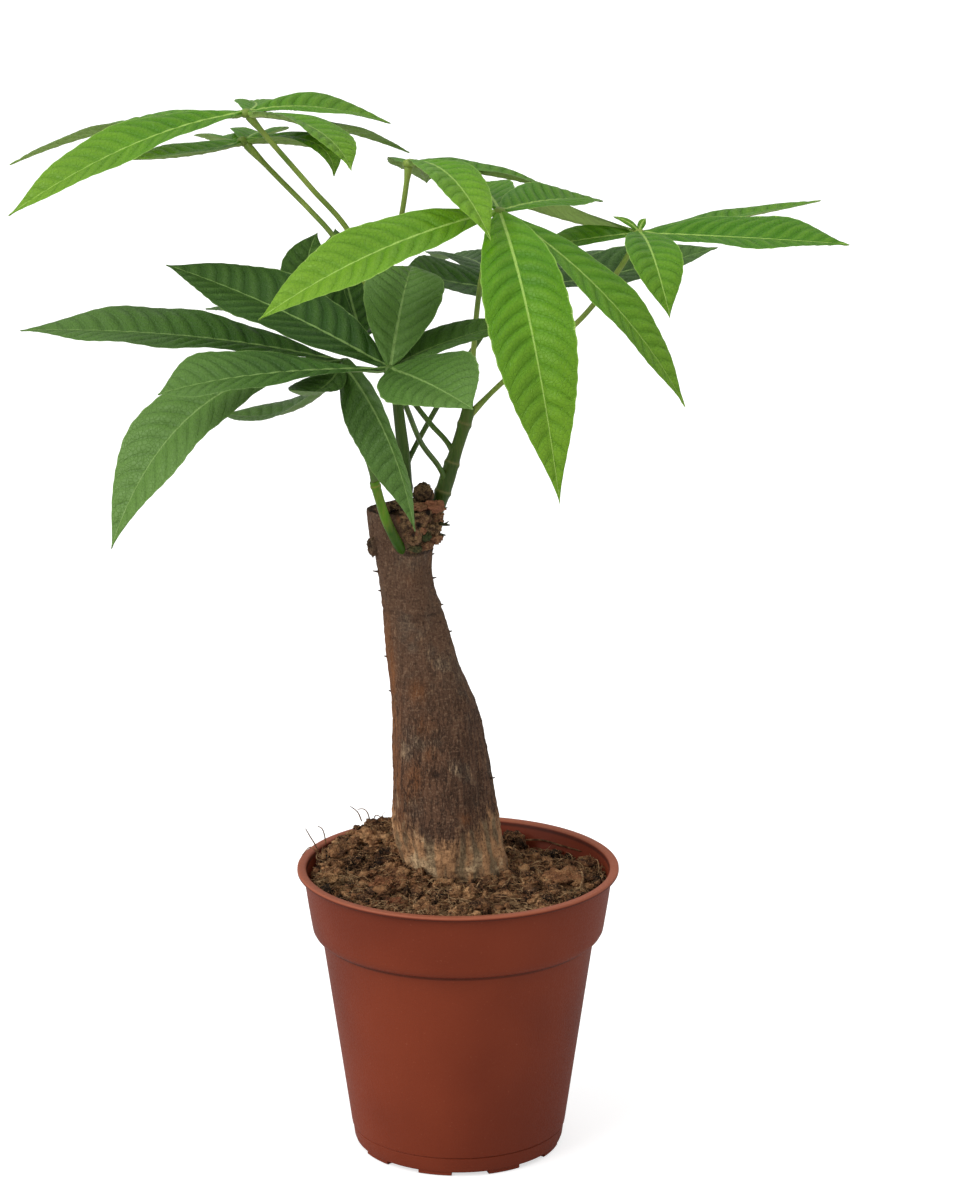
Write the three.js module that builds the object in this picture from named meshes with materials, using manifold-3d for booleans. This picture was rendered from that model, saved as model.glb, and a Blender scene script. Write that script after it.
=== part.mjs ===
/* A young money tree in a round plastic nursery pot.

   Lengths are in millimetres and angles in degrees. +Z is up and -Y is the front. The origin is on the
   axis of the pot, at the level of the surface that it stands on.

   The pot holds the soil, the trunk stands in a hole in the soil, three green stems stand in sockets in
   the trunk's cut head, and each stem carries compound leaves. A compound leaf is one solid: a petiole,
   a small hub at its end and the leaflets that spread from the hub. */

import * as THREE from 'three';
import Module from 'manifold-3d';
import { mergeVertices } from 'three/addons/utils/BufferGeometryUtils.js';

const wasm = await Module();
wasm.setup();

/* Driving dimensions of the pot. */
const potHeight = 108.5;
const rimRadius = 60;
const rimThickness = 1.6;
const bandTopRadius = 57.6;
const bandFootRadius = 54.7;
const shelfHeight = 81.9;
const bodyTopRadius = 50.9;
const bodyFootRadius = 40.4;
const footRingRadius = 39.4;
const footRingHeight = 8.4;
const undersideHeight = 1.2;
const potWall = 1.2;
const floorTop = 2.6;
const potSides = 40;
const footCount = 9;
const footWidth = 19;
const firstFoot = -13;
const footInnerRadius = 31;
const footOuterRadius = 38.4;
const footHeight = 1.8;
const drainCount = 6;
const drainRadius = 3.5;
const drainCircle = 22;

/* Clearances between pieces. */
const clearance = 0.3;
const soilClearance = 0.4;

/* The soil surface: a level, a mound at the back left that fades at the wall, a hollow at the back right
   and a low collar round the trunk. */
const soilLevel = 105.5;
const soilEdgeDrop = 1.5;
const mound = { x: -31, y: 26, height: 8.5, spread: 19 };
const hollow = { x: 34, y: 42, height: -6, spread: 16 };
const collar = { x: 2, y: -2, height: 6, spread: 17 };
const moundFade = 0.55;
const clodHeight = 0.7;
const clodSize = 5.5;
const soilSides = 30;

/* The trunk: height, sideways place of its axis, and radius. Its head slopes above headHeight. */
const trunkRun = [
  [66.5, 3, 9], [74.5, 3, 13.5], [86.5, 3, 15.5], [96, 3.2, 16.4], [103.7, 2.6, 16.9], [108, 1.1, 18.7],
  [111.8, -0.6, 19.5], [118.1, -2.9, 19.8], [124.4, -4.2, 19.8], [129.7, -5, 19.6], [134.9, -5.6, 19],
  [151.6, -7.4, 17.6], [167.8, -8.8, 15.9], [180.1, -11, 14], [191.1, -13.5, 12.4], [204.1, -15.6, 11.1],
  [218.1, -18.5, 9.7], [228.5, -19.5, 10.5], [233.5, -19.3, 12.4], [238.5, -18.7, 13.5], [245, -19, 13.5],
  [247.1, -19, 12.4], [248.5, -19, 8], [248.9, -19, 3],
];
const trunkSides = 16;
const trunkLumps = 0.045;
const headHeight = 238.5;
const headSlope = 0.17;
const stub = { foot: [-12.2, 4.5, 244.5], top: [-11.8, 4.5, 253], radius: 4 };

/* Stems: the run of the axis, and the radius at each point of it. */
const stems = {
  stem_right: {
    run: [[-10.5, 3, 235.5], [-8, 3, 242.5], [-3.9, 3, 255], [0.2, 3, 267.9], [4.6, 3, 282.6]],
    radii: [2.2, 2.7, 2.9, 2.3, 2.5],
  },
  stem_middle: {
    run: [[-18.6, 7, 236.5], [-18.5, 8, 246.2], [-19.5, 8, 261.2], [-21.6, 8, 281.6], [-23.4, 8, 305.6],
      [-25, 8, 330.5]],
    radii: [1.9, 2.2, 2.3, 2, 1.9, 2],
  },
  stem_front: {
    run: [[-18.6, -6, 229], [-21.3, -12.6, 234.5], [-25, -16.2, 243], [-27.7, -18.3, 252],
      [-29.7, -20, 259.8]],
    radii: [1.4, 1.9, 1.8, 1.7, 1.8],
  },
};
const stemSides = 8;

/* Compound leaves. A petiole runs from inside its stem to the hub. A leaflet has the place half way along
   its midrib, its tip, its greatest width, and the way its upper face looks at the middle. fold is the
   lift of each half from the midrib, and widest the share of its length where it is widest: bladeFold and
   bladeWidest if not given. */
const petioleRadius = 1;
const petioleFootRadius = 1.45;
const petioleSides = 6;
const hubRadius = 2.6;
const bladeThickness = 0.8;
const bladeBaseWidth = 2.4;
const bladeTipWidth = 1;
const bladeFold = 12;
const bladeWidest = 0.532;
const bladeArch = 0.05;
const waveHeight = 0.045;
const waveLength = 34;
const stationLength = 15;
const young = 0x69a82a;
const mature = 0x3f6e2e;

const leaves = {
  leaf_1: {
    colour: young,
    parent: 'stem_middle',
    petiole: [[-24.6, 8, 318.5], [-38.9, 8, 345.2], [-52, 8, 360.5], [-64.4, 8, 375]],
    hub: [-75, 8, 387.5],
    leaflets: [
      { mid: [-114, -10, 378.4], tip: [-157, -25, 355.5], width: 27, face: [0, -0.3, 1], widest: 0.58 },
      { mid: [-121, 30, 380], tip: [-165, 45, 364], width: 22, face: [0, 0, 1] },
      { mid: [-73, 34, 387.4], tip: [-78.5, 60, 385.5], width: 16, face: [0, 0, 1] },
      { mid: [-52, 22, 387.8], tip: [-24, 34, 380.6], width: 20, face: [0, -0.3, 1], widest: 0.6 },
      { mid: [-50, -20, 385.5], tip: [-36, -40, 373.5], width: 21, face: [0.2, 0, 1] },
      { mid: [-46, 38, 378.8], tip: [-18, 68, 365.5], width: 17, face: [0.1, 0.05, 1] },
    ],
  },
  leaf_2: {
    colour: young,
    parent: 'stem_middle',
    petiole: [[-24, 8, 311.5], [-30, 11.5, 321], [-43.8, 18, 340.4], [-52.7, 22, 350], [-65.6, 29, 362]],
    hub: [-78, 35, 374],
    leaflets: [
      { mid: [-97, 29, 370.1], tip: [-119, 24, 369], width: 24, face: [0, -0.05, 1] },
      { mid: [-74, 62, 373.5], tip: [-74, 88, 368.5], width: 22, face: [0, 0, 1] },
      { mid: [-53, 26, 374.8], tip: [-44.5, 20, 363], width: 17, face: [0.1, -0.1, 1] },
      { mid: [-88, 66, 371], tip: [-93, 92, 366.5], width: 20, face: [0, 0, 1] },
      { mid: [-58, 54, 370.5], tip: [-44, 76, 363], width: 20, face: [0, 0, 1] },
    ],
  },
  leaf_3: {
    colour: young,
    parent: 'stem_right',
    petiole: [[4, 3, 280.5], [5.4, -1, 292.5], [6, -5, 305.5], [8, -14, 327.5], [12, -28, 349.5]],
    hub: [15, -35, 358.5],
    leaflets: [
      { mid: [-27, -58, 348.1], tip: [-67, -75, 327.5], width: 27, face: [0, -0.5, 1] },
      { mid: [25.6, -75, 324.5], tip: [35.5, -85, 265.5], width: 29.5, face: [0.05, -1, 0.3], widest: 0.47 },
      { mid: [51.3, -58, 332.6], tip: [78.8, -65, 295.5], width: 24, face: [0.5, -0.4, 0.8] },
      { mid: [33, -10, 358.8], tip: [53, 22, 354], width: 24, face: [0.1, -0.25, 1] },
      { mid: [9, -2, 361.5], tip: [1, 30, 357.5], width: 22, face: [0, 0, 1] },
    ],
  },
  leaf_4: {
    colour: young,
    parent: 'stem_middle',
    petiole: [[-25, 8, 328.5], [-22.8, 7.2, 337.5], [-19.5, 5.5, 353.5]],
    hub: [-17, 5, 370],
    leaflets: [
      { mid: [-2, -31, 370], tip: [12, -60, 352.5], width: 20, face: [0.1, -0.2, 1] },
      { mid: [12, 28, 363], tip: [36, 45, 354.5], width: 22, face: [0.1, -0.1, 1] },
      { mid: [-18.5, 20, 367.5], tip: [-20.5, 36, 364], width: 12, face: [0, 0, 1] },
      { mid: [-14, 44, 363.5], tip: [-12, 80, 352.5], width: 24, face: [0, 0, 1] },
    ],
  },
  leaf_5: {
    colour: young,
    parent: 'stem_right',
    petiole: [[3, 3, 277.5], [18, 3, 292.5], [43, 4, 312.5], [58, 1, 332.5]],
    hub: [65, 0, 345.5],
    leaflets: [
      { mid: [102, -12, 345.7], tip: [138, -25, 345.5], width: 29, face: [0, -0.27, 1] },
      { mid: [99, 25, 347.2], tip: [134, 45, 351], width: 16, face: [0, 0, 1] },
      { mid: [68.5, -30, 342.5], tip: [74, -48, 323.3], width: 19.5, face: [0.1, -0.3, 1] },
      { mid: [46, 2, 343], tip: [29, 2, 339.8], width: 17, face: [-0.1, -0.3, 1] },
      { mid: [41, 28, 346.3], tip: [17, 52, 350.3], width: 24, face: [0, 0.8, 1] },
      { mid: [61.5, 1, 349], tip: [55.5, 2, 351.5], width: 3.4, face: [0, -0.5, 1] },
      { mid: [66, 2, 348.6], tip: [67.6, 3, 350.6], width: 3, face: [0, -0.5, 1] },
    ],
  },
  leaf_6: {
    colour: mature,
    parent: 'stem_middle',
    petiole: [[-19.2, 8, 257.5], [-16, 11, 264.5], [-6, 18, 281.5], [8, 32, 301.5]],
    hub: [21, 40, 318.5],
    leaflets: [
      { mid: [61, 50, 323.2], tip: [97, 55, 332], width: 30, face: [0, -0.25, 1] },
      { mid: [-3, 30, 323], tip: [-19, 20, 330], width: 26, face: [0, -0.45, 1] },
      { mid: [39, 85, 322.5], tip: [55, 125, 315.5], width: 28, face: [0, 0, 1] },
      { mid: [4, 85, 322.5], tip: [-8, 122, 315.5], width: 28, face: [0, 0, 1] },
    ],
  },
  leaf_7: {
    colour: mature,
    parent: 'stem_right',
    petiole: [[-4, 3, 254], [-7, -2.5, 261.5], [-13, -14, 272.5], [-18, -32, 289.5]],
    hub: [-23, -48, 305.5],
    leaflets: [
      { mid: [-18.8, -32, 327.5], tip: [-16, 2, 333.5], width: 28, face: [0, -0.8, 0.5] },
      { mid: [-3, -40, 313.6], tip: [24, -32, 319.8], width: 21, face: [0, -0.2, 1] },
      { mid: [-9, -75, 305.5], tip: [6, -100, 302], width: 34, face: [-0.42, -0.15, 1] },
      { mid: [-67, -62, 306.3], tip: [-102, -70, 301], width: 33, face: [0, -0.28, 1], widest: 0.68 },
      { mid: [-63, -25, 322.5], tip: [-104, -5, 335.2], width: 32.5, face: [0.2, -0.5, 0.9] },
    ],
  },
  leaf_8: {
    colour: mature,
    parent: 'stem_front',
    petiole: [[-29.3, -19.7, 258.3], [-32, -21.5, 268.5], [-37, -22, 285.5]],
    hub: [-40, -20, 302.5],
    leaflets: [
      { mid: [-96, -5, 309.1], tip: [-158, 5, 309.6], width: 31, face: [0, -0.3, 1], widest: 0.62 },
      { mid: [-89.4, -46, 291.2], tip: [-120, -62, 244.5], width: 31, face: [-0.4, -0.6, 0.65], widest: 0.6 },
      { mid: [-59.5, 4, 280.8], tip: [-88, 25, 275], width: 20, face: [0, -0.35, 1], widest: 0.6 },
      { mid: [-23.4, -50, 281], tip: [-14.6, -44, 246.5], width: 21, face: [-0.8, -0.6, 0.2], fold: 30,
        widest: 0.4 },
      { mid: [-48.8, -32, 294.6], tip: [-58.6, -44, 297.8], width: 20, face: [0, 0, 1] },
    ],
  },
  leaf_9: {
    colour: mature,
    parent: 'stem_right',
    petiole: [[-0.8, 3, 264.5], [-4.6, 5, 269.6], [-9.7, 8, 274.5], [-15.6, 13, 281], [-27, 19, 295.5]],
    hub: [-35, 20, 304.5],
    leaflets: [
      { mid: [-40.5, 38, 319.5], tip: [-46, 60, 338.5], width: 29, face: [0, -0.6, 0.8] },
      { mid: [-52.5, 15, 324.5], tip: [-51, 30, 341.5], width: 22, face: [0.1, -0.9, 0.4] },
      { mid: [-66, 35, 309.5], tip: [-94, 45, 310.5], width: 25, face: [0, 0, 1] },
      { mid: [-26, 52, 307.5], tip: [-22, 90, 307.5], width: 25, face: [0, 0, 1] },
      { mid: [-50, 54, 305.5], tip: [-62, 88, 304.5], width: 25, face: [0, 0, 1] },
    ],
  },
};

const vector = ([x, y, z]) => new THREE.Vector3(x, y, z);
const radians = THREE.MathUtils.degToRad;

/* A solid for joining and cutting, from a closed geometry. */
function solid(geometry) {
  const bare = new THREE.BufferGeometry();
  bare.setAttribute('position', geometry.getAttribute('position'));
  bare.setIndex(geometry.getIndex());
  const merged = mergeVertices(bare, 1e-4);
  const corners = merged.getIndex().array;
  const kept = [];
  for (let i = 0; i < corners.length; i += 3) {
    const [a, b, c] = corners.slice(i, i + 3);
    if (a !== b && b !== c && c !== a) kept.push(a, b, c);
  }
  return new wasm.Manifold(new wasm.Mesh({
    numProp: 3,
    vertProperties: merged.getAttribute('position').array,
    triVerts: new Uint32Array(kept),
  }));
}

/* The mesh of a joined or cut solid. */
function piece(name, body, material) {
  const { vertProperties, triVerts } = body.getMesh();
  const geometry = new THREE.BufferGeometry();
  geometry.setAttribute('position', new THREE.BufferAttribute(vertProperties, 3));
  geometry.setIndex(new THREE.BufferAttribute(triVerts, 1));
  geometry.computeVertexNormals();
  const mesh = new THREE.Mesh(geometry, material);
  mesh.name = name;
  return mesh;
}

/* A closed skin over a row of rings, which have an even count of points and turn about the way they run.
   On a flat section the second half of each ring is the underside, and is split along the same
   diagonals as the first half. */
function loft(rings, flat = false) {
  const count = rings[0].length;
  const half = count / 2;
  const last = (rings.length - 1) * count;
  const index = [];
  for (let i = 0; i + 1 < rings.length; i += 1) {
    for (let j = 0; j < count; j += 1) {
      const next = (j + 1) % count;
      const [a, b, c, d] = [i * count + j, i * count + next, (i + 1) * count + next, (i + 1) * count + j];
      if (flat && j >= half) index.push(a, b, d, b, c, d);
      else index.push(a, b, c, a, c, d);
    }
  }
  for (let j = 0; j < half - 1; j += 1) {
    const [a, b, c, d] = [j, j + 1, count - 2 - j, count - 1 - j];
    index.push(a, c, b, a, d, c);
    index.push(last + a, last + b, last + c, last + a, last + c, last + d);
  }
  const geometry = new THREE.BufferGeometry();
  const places = rings.flat().flatMap((point) => point.toArray());
  geometry.setAttribute('position', new THREE.Float32BufferAttribute(places, 3));
  geometry.setIndex(index);
  return geometry;
}

/* Frames along a curve: a place, the way it runs, a side and an upper direction. They are carried along
   without turning, from the middle, where the upper direction is nearest to the one that is given. */
function framesAlong(curve, steps, upper) {
  const frames = [];
  for (let i = 0; i <= steps; i += 1) {
    frames.push({ place: curve.getPoint(i / steps), run: curve.getTangent(i / steps).normalize() });
  }
  const square = (direction, run) => direction.clone().addScaledVector(run, -direction.dot(run)).normalize();
  const middle = Math.round(steps / 2);
  frames[middle].up = square(upper, frames[middle].run);
  for (let i = middle + 1; i <= steps; i += 1) frames[i].up = square(frames[i - 1].up, frames[i].run);
  for (let i = middle - 1; i >= 0; i -= 1) frames[i].up = square(frames[i + 1].up, frames[i].run);
  for (const frame of frames) frame.side = frame.up.clone().cross(frame.run);
  return frames;
}

/* A round rod along a smooth curve through some points, with a radius at each point. */
function rod(points, radii, sides, grown = 0) {
  const curve = new THREE.CatmullRomCurve3(points.map(vector));
  const steps = (points.length - 1) * 2;
  const frames = framesAlong(curve, steps, new THREE.Vector3(0.3, -1, 0.1));
  frames[0].place.addScaledVector(frames[0].run, -grown);
  frames[steps].place.addScaledVector(frames[steps].run, grown);
  const rings = frames.map(({ place, side, up }, i) => {
    const along = (i / steps) * (radii.length - 1);
    const before = Math.min(Math.floor(along), radii.length - 2);
    const radius = THREE.MathUtils.lerp(radii[before], radii[before + 1], along - before) + grown;
    return Array.from({ length: sides }, (_, j) => {
      const turn = (2 * Math.PI * j) / sides;
      return place.clone()
        .addScaledVector(side, radius * Math.cos(turn))
        .addScaledVector(up, radius * Math.sin(turn));
    });
  });
  return solid(loft(rings));
}

/* Half the width of a leaflet at a share of its length, as a share of its greatest half width. */
const outline = (share, widest) => (
  Math.sin(Math.PI * share ** (Math.log(0.5) / Math.log(widest))) ** (0.75 + 0.55 * share ** 3));

/* A leaflet: a thin blade, folded along the midrib, with arched halves and waved edges. */
function leaflet(hub, { mid, tip, width, face, fold = bladeFold, widest = bladeWidest }, phase) {
  const [root, middle, end] = [hub, mid, tip].map(vector);
  const control = middle.clone().multiplyScalar(2).addScaledVector(root, -0.5).addScaledVector(end, -0.5);
  const curve = new THREE.QuadraticBezierCurve3(root, control, end);
  const length = curve.getLength();
  const steps = Math.max(4, Math.min(8, Math.round(length / stationLength)));
  const frames = framesAlong(curve, steps, vector(face));
  const columns = [1, 0.5, 0, -0.5, -1];
  const rings = frames.map(({ place, side, up }, i) => {
    const share = i / steps;
    const narrowest = THREE.MathUtils.lerp(bladeBaseWidth, bladeTipWidth, share) / 2;
    const halfWidth = Math.max(narrowest, (width / 2) * outline(share, widest));
    const edge = (column) => {
      const wave = Math.sin((2 * Math.PI * share * length) / waveLength + phase + column);
      const lift = Math.abs(column) * Math.tan(radians(fold))
        + (1 - Math.abs(2 * Math.abs(column) - 1)) * bladeArch
        + column ** 2 * waveHeight * wave;
      return place.clone().addScaledVector(side, column * halfWidth).addScaledVector(up, lift * halfWidth);
    };
    const top = columns.map((column) => edge(column).addScaledVector(up, bladeThickness / 2));
    const bottom = columns.map((column) => edge(column).addScaledVector(up, -bladeThickness / 2));
    return [...top, ...bottom.reverse()];
  });
  return solid(loft(rings, true));
}

/* A compound leaf, cut clear of the stem that it grows from. */
function compoundLeaf({ parent, petiole, hub, leaflets }, order) {
  const stalkRadii = petiole.map((_, i) => (i === 0 ? petioleFootRadius : petioleRadius));
  let body = rod([...petiole, hub], [...stalkRadii, petioleFootRadius], petioleSides);
  const ball = new THREE.SphereGeometry(hubRadius, 8, 6);
  ball.translate(...hub);
  body = body.add(solid(ball));
  leaflets.forEach((blade, i) => {
    body = body.add(leaflet(hub, blade, 2.4 * (order + i)));
  });
  return body.subtract(stem(parent, clearance));
}

/* A stem, grown by some distance all over where it is to cut room for itself. */
const stem = (name, grown = 0) => rod(stems[name].run, stems[name].radii, stemSides, grown);

/* The trunk without its sockets: a lumpy round column with a sloping, thickened head. */
function trunkBody(grown = 0) {
  const rings = trunkRun.map(([height, axis, radius]) => Array.from({ length: trunkSides }, (_, j) => {
    const turn = (2 * Math.PI * j) / trunkSides;
    const waves = Math.sin(3 * turn + height / 21) + 0.6 * Math.sin(5 * turn - height / 13);
    const lumps = 1 + trunkLumps * waves;
    const reach = radius * lumps + grown;
    const slope = height > headHeight ? headSlope * reach * Math.cos(turn) : 0;
    return new THREE.Vector3(axis + reach * Math.cos(turn), reach * Math.sin(turn), height + slope);
  }));
  return solid(loft(rings));
}

function trunk() {
  const broken = rod([stub.foot, stub.top], [stub.radius, stub.radius * 0.8], 8);
  let body = trunkBody().add(broken);
  for (const name of Object.keys(stems)) body = body.subtract(stem(name, clearance));
  return body;
}

/* A solid turned about the upright axis, from a profile of radius and height that goes up the outside. */
function turned(profile, sides) {
  const points = profile.map(([radius, height]) => new THREE.Vector2(radius, height));
  return new THREE.LatheGeometry(points, sides).rotateX(Math.PI / 2);
}

/* The pot: a thin tapered wall with a wider band and a rolled rim, nine feet and drain holes. */
function pot() {
  const rimFoot = potHeight - rimThickness;
  const outside = [
    [0, undersideHeight], [footRingRadius - 1.4, undersideHeight],
    [footRingRadius - 0.3, undersideHeight + 0.9], [footRingRadius, undersideHeight + 2],
    [footRingRadius + 0.6, footRingHeight], [bodyFootRadius, footRingHeight + 0.4],
    [bodyTopRadius, shelfHeight], [bodyTopRadius + 0.7, shelfHeight + 0.4],
    [bandFootRadius - 1.4, shelfHeight + 1.3], [bandFootRadius - 0.4, shelfHeight + 2.8],
    [bandFootRadius, shelfHeight + 4.8], [bandTopRadius, rimFoot],
    [rimRadius - 0.5, rimFoot], [rimRadius, rimFoot + 0.5],
    [rimRadius, potHeight - 0.5], [rimRadius - 0.5, potHeight],
  ];
  const inside = [
    [bandTopRadius - 0.4, potHeight], [bandTopRadius - potWall, potHeight - 1],
    [bandFootRadius - potWall, shelfHeight + 5], [bandFootRadius - potWall - 1.2, shelfHeight + 3.2],
    [bodyTopRadius - potWall, shelfHeight + 1.6], [bodyFootRadius - potWall - 0.2, floorTop + 2],
    [bodyFootRadius - potWall - 2, floorTop], [0, floorTop],
  ];
  let body = solid(turned([...outside, ...inside], potSides));
  for (let i = 0; i < footCount; i += 1) {
    const middle = radians(-90 + firstFoot + (360 / footCount) * i);
    const half = radians(footWidth / 2);
    const outlineOfFoot = new THREE.Shape();
    outlineOfFoot.absarc(0, 0, footOuterRadius, middle - half, middle + half, false);
    outlineOfFoot.absarc(0, 0, footInnerRadius, middle + half, middle - half, true);
    const foot = new THREE.ExtrudeGeometry(outlineOfFoot, {
      depth: footHeight, bevelEnabled: false, curveSegments: 2,
    });
    body = body.add(solid(foot));
  }
  for (let i = 0; i < drainCount; i += 1) {
    const turn = (2 * Math.PI * i) / drainCount;
    const drill = new THREE.CylinderGeometry(drainRadius, drainRadius, 2 * floorTop, 8);
    drill.rotateX(Math.PI / 2);
    drill.translate(drainCircle * Math.cos(turn), drainCircle * Math.sin(turn), floorTop / 2);
    body = body.subtract(solid(drill));
  }
  return body;
}

/* The height of the soil surface. */
function soilHeight(x, y) {
  const swell = ({ x: centreX, y: centreY, height, spread }) => (
    height * Math.exp(-((x - centreX) ** 2 + (y - centreY) ** 2) / (2 * spread ** 2)));
  const edge = THREE.MathUtils.smoothstep(Math.hypot(x, y), 44, bandTopRadius - potWall);
  const clods = clodHeight * Math.sin(x / clodSize + 1) * Math.cos(y / clodSize - 0.5);
  const hills = swell(mound) * (1 - moundFade * edge) + swell(hollow) + swell(collar);
  return soilLevel + hills + clods - soilEdgeDrop * edge;
}

/* The soil fills the pot, has a broken surface and a hole for the trunk. */
function soil() {
  const wall = (radius) => radius - potWall - soilClearance;
  const profile = [
    [0, floorTop + soilClearance], [wall(bodyFootRadius) - 2, floorTop + soilClearance],
    [wall(bodyFootRadius), floorTop + 2.6], [wall(bodyTopRadius), shelfHeight + 2.2],
    [wall(bandFootRadius) - 1.6, shelfHeight + 4], [wall(bandFootRadius), shelfHeight + 6],
    [wall(bandFootRadius) + 1.3, soilLevel - 9.5],
  ];
  const surface = [54.5, 51, 46, 40, 33, 27, 22, 12, 0].map((radius) => [radius, soilLevel]);
  const geometry = turned([...profile, ...surface], soilSides);
  const places = geometry.getAttribute('position');
  for (let i = 0; i < places.count; i += 1) {
    if (places.getZ(i) > soilLevel - 0.1) places.setZ(i, soilHeight(places.getX(i), places.getY(i)));
  }
  return solid(geometry).subtract(trunkBody(soilClearance));
}

const plastic = new THREE.MeshStandardMaterial({ color: 0x8a4630, roughness: 0.5, metalness: 0 });
const earth = new THREE.MeshStandardMaterial({ color: 0x5b4430, roughness: 1, metalness: 0 });
const bark = new THREE.MeshStandardMaterial({ color: 0x66503f, roughness: 0.9, metalness: 0 });
const shoot = new THREE.MeshStandardMaterial({ color: 0x4f7d22, roughness: 0.55, metalness: 0 });

const moneyTree = new THREE.Group();
moneyTree.add(piece('pot', pot(), plastic));
moneyTree.add(piece('soil', soil(), earth));
moneyTree.add(piece('trunk', trunk(), bark));
for (const name of Object.keys(stems)) moneyTree.add(piece(name, stem(name), shoot));
Object.entries(leaves).forEach(([name, leaf], order) => {
  const green = new THREE.MeshStandardMaterial({ color: leaf.colour, roughness: 0.45, metalness: 0 });
  moneyTree.add(piece(name, compoundLeaf(leaf, order), green));
});

export default moneyTree;
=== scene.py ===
"""A young money tree in a round plastic nursery pot.

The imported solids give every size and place, and the classes below build the finer surfaces that stand for
them: the pot, the soil with its crumbs, fibres and clods, the trunk with its callused head, the green stems
and the compound leaves. Lengths are in millimetres and angles in degrees, and each mesh is turned into
metres as it is finished. +Z is up and -Y is the front.
"""

from __future__ import annotations

import logging
import math
import random
from dataclasses import dataclass
from enum import Enum
from functools import partial
from typing import Callable, Sequence, Union

import bmesh
import bpy
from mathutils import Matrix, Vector, noise

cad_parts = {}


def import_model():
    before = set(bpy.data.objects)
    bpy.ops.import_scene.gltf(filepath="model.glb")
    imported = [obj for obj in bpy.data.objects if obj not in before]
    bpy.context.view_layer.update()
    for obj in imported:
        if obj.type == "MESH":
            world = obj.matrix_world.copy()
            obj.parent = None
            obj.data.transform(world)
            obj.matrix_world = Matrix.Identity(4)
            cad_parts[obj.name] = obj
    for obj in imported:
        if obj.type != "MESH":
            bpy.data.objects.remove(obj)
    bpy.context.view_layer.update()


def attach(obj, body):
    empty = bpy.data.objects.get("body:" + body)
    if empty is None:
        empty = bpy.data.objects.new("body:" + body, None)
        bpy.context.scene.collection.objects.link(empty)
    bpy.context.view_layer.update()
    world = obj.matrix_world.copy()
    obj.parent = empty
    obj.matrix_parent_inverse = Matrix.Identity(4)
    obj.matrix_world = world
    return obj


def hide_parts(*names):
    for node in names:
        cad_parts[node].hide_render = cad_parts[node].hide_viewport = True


LOG = logging.getLogger("money_tree")
METRE = 0.001
LAYERS = ("tone", "mark", "moss", "warm", "pale")
WHITE = (1.0, 1.0, 1.0, 1.0)
NEAR = 1e-6
LAST = 0.999999

Point = tuple[float, float, float]
Colour = tuple[int, int, int]
Curve = Callable[[float], Vector]
Reach = Callable[[float, float], float]
Layered = Callable[[float, float], dict[str, float]]
Spots = tuple[tuple[Point, float], ...]
Hill = tuple[float, float, float, float]
Socket = bpy.types.NodeSocket
Feed = Union[float, Sequence[float], Socket]


class Growth(Enum):
    """The age of a leaf, which sets its greens and how strongly it is quilted."""

    YOUNG = "young"
    MATURE = "mature"


class Skin(Enum):
    """The surfaces of a compound leaf, in the order of its material slots."""

    UPPER = 0
    UNDER = 1
    STALK = 2


def tint(colour: Colour) -> tuple[float, float, float, float]:
    """Turns a colour in display steps from 0 to 255 into a linear colour with an alpha of 1."""
    linear = [(c / 255 / 12.92) if c <= 10 else ((c / 255 + 0.055) / 1.055) ** 2.4 for c in colour]
    return (linear[0], linear[1], linear[2], 1.0)


def clamp(value: float) -> float:
    """The value kept between 0 and 1."""
    return min(1.0, max(0.0, value))


def smooth(low: float, high: float, value: float) -> float:
    """A soft step: 0 below low, 1 above high."""
    share = clamp((value - low) / (high - low))
    return share * share * (3 - 2 * share)


def between(low: float, high: float, share: float) -> float:
    """The value at a share of the way from low to high."""
    return low + (high - low) * share


def bell(offset: float, width: float, power: int = 2) -> float:
    """A bump of 1 in the middle that fades as the offset passes the width."""
    return math.exp(-(offset / width) ** power)


def cell(spot: Vector, middle: float) -> float:
    """How far a place lies inside a rounded lump of a pattern of lumps that are about 1 wide."""
    return middle - noise.voronoi(spot)[0][0]


def around(radius: float, angle: float, height: float = 0.0) -> Vector:
    """The place at a radius and an angle round the pot's axis."""
    return Vector((radius * math.cos(angle), radius * math.sin(angle), height))


def square(direction: Vector, run: Vector) -> Vector:
    """The direction turned square to a run."""
    return (direction - run * direction.dot(run)).normalized()


def add_object(name: str, data: bpy.types.ID) -> bpy.types.Object:
    """Puts a new object into the scene.

    Args:
        name: Its name.
        data: Its mesh, light or camera.

    Returns:
        The object.
    """
    item = bpy.data.objects.new(name, data)
    bpy.context.scene.collection.objects.link(item)
    return item


def to_mesh(bm: bmesh.types.BMesh, name: str) -> bpy.types.Mesh:
    """Turns a mesh in the making into a mesh.

    Args:
        bm: The mesh in the making, which is freed.
        name: Its name.

    Returns:
        The mesh.
    """
    mesh = bpy.data.meshes.new(name)
    bm.to_mesh(mesh)
    bm.free()
    return mesh


@dataclass
class Station:
    """A place on a curve and two directions square to the curve there."""

    place: Vector
    side: Vector
    up: Vector


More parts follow.
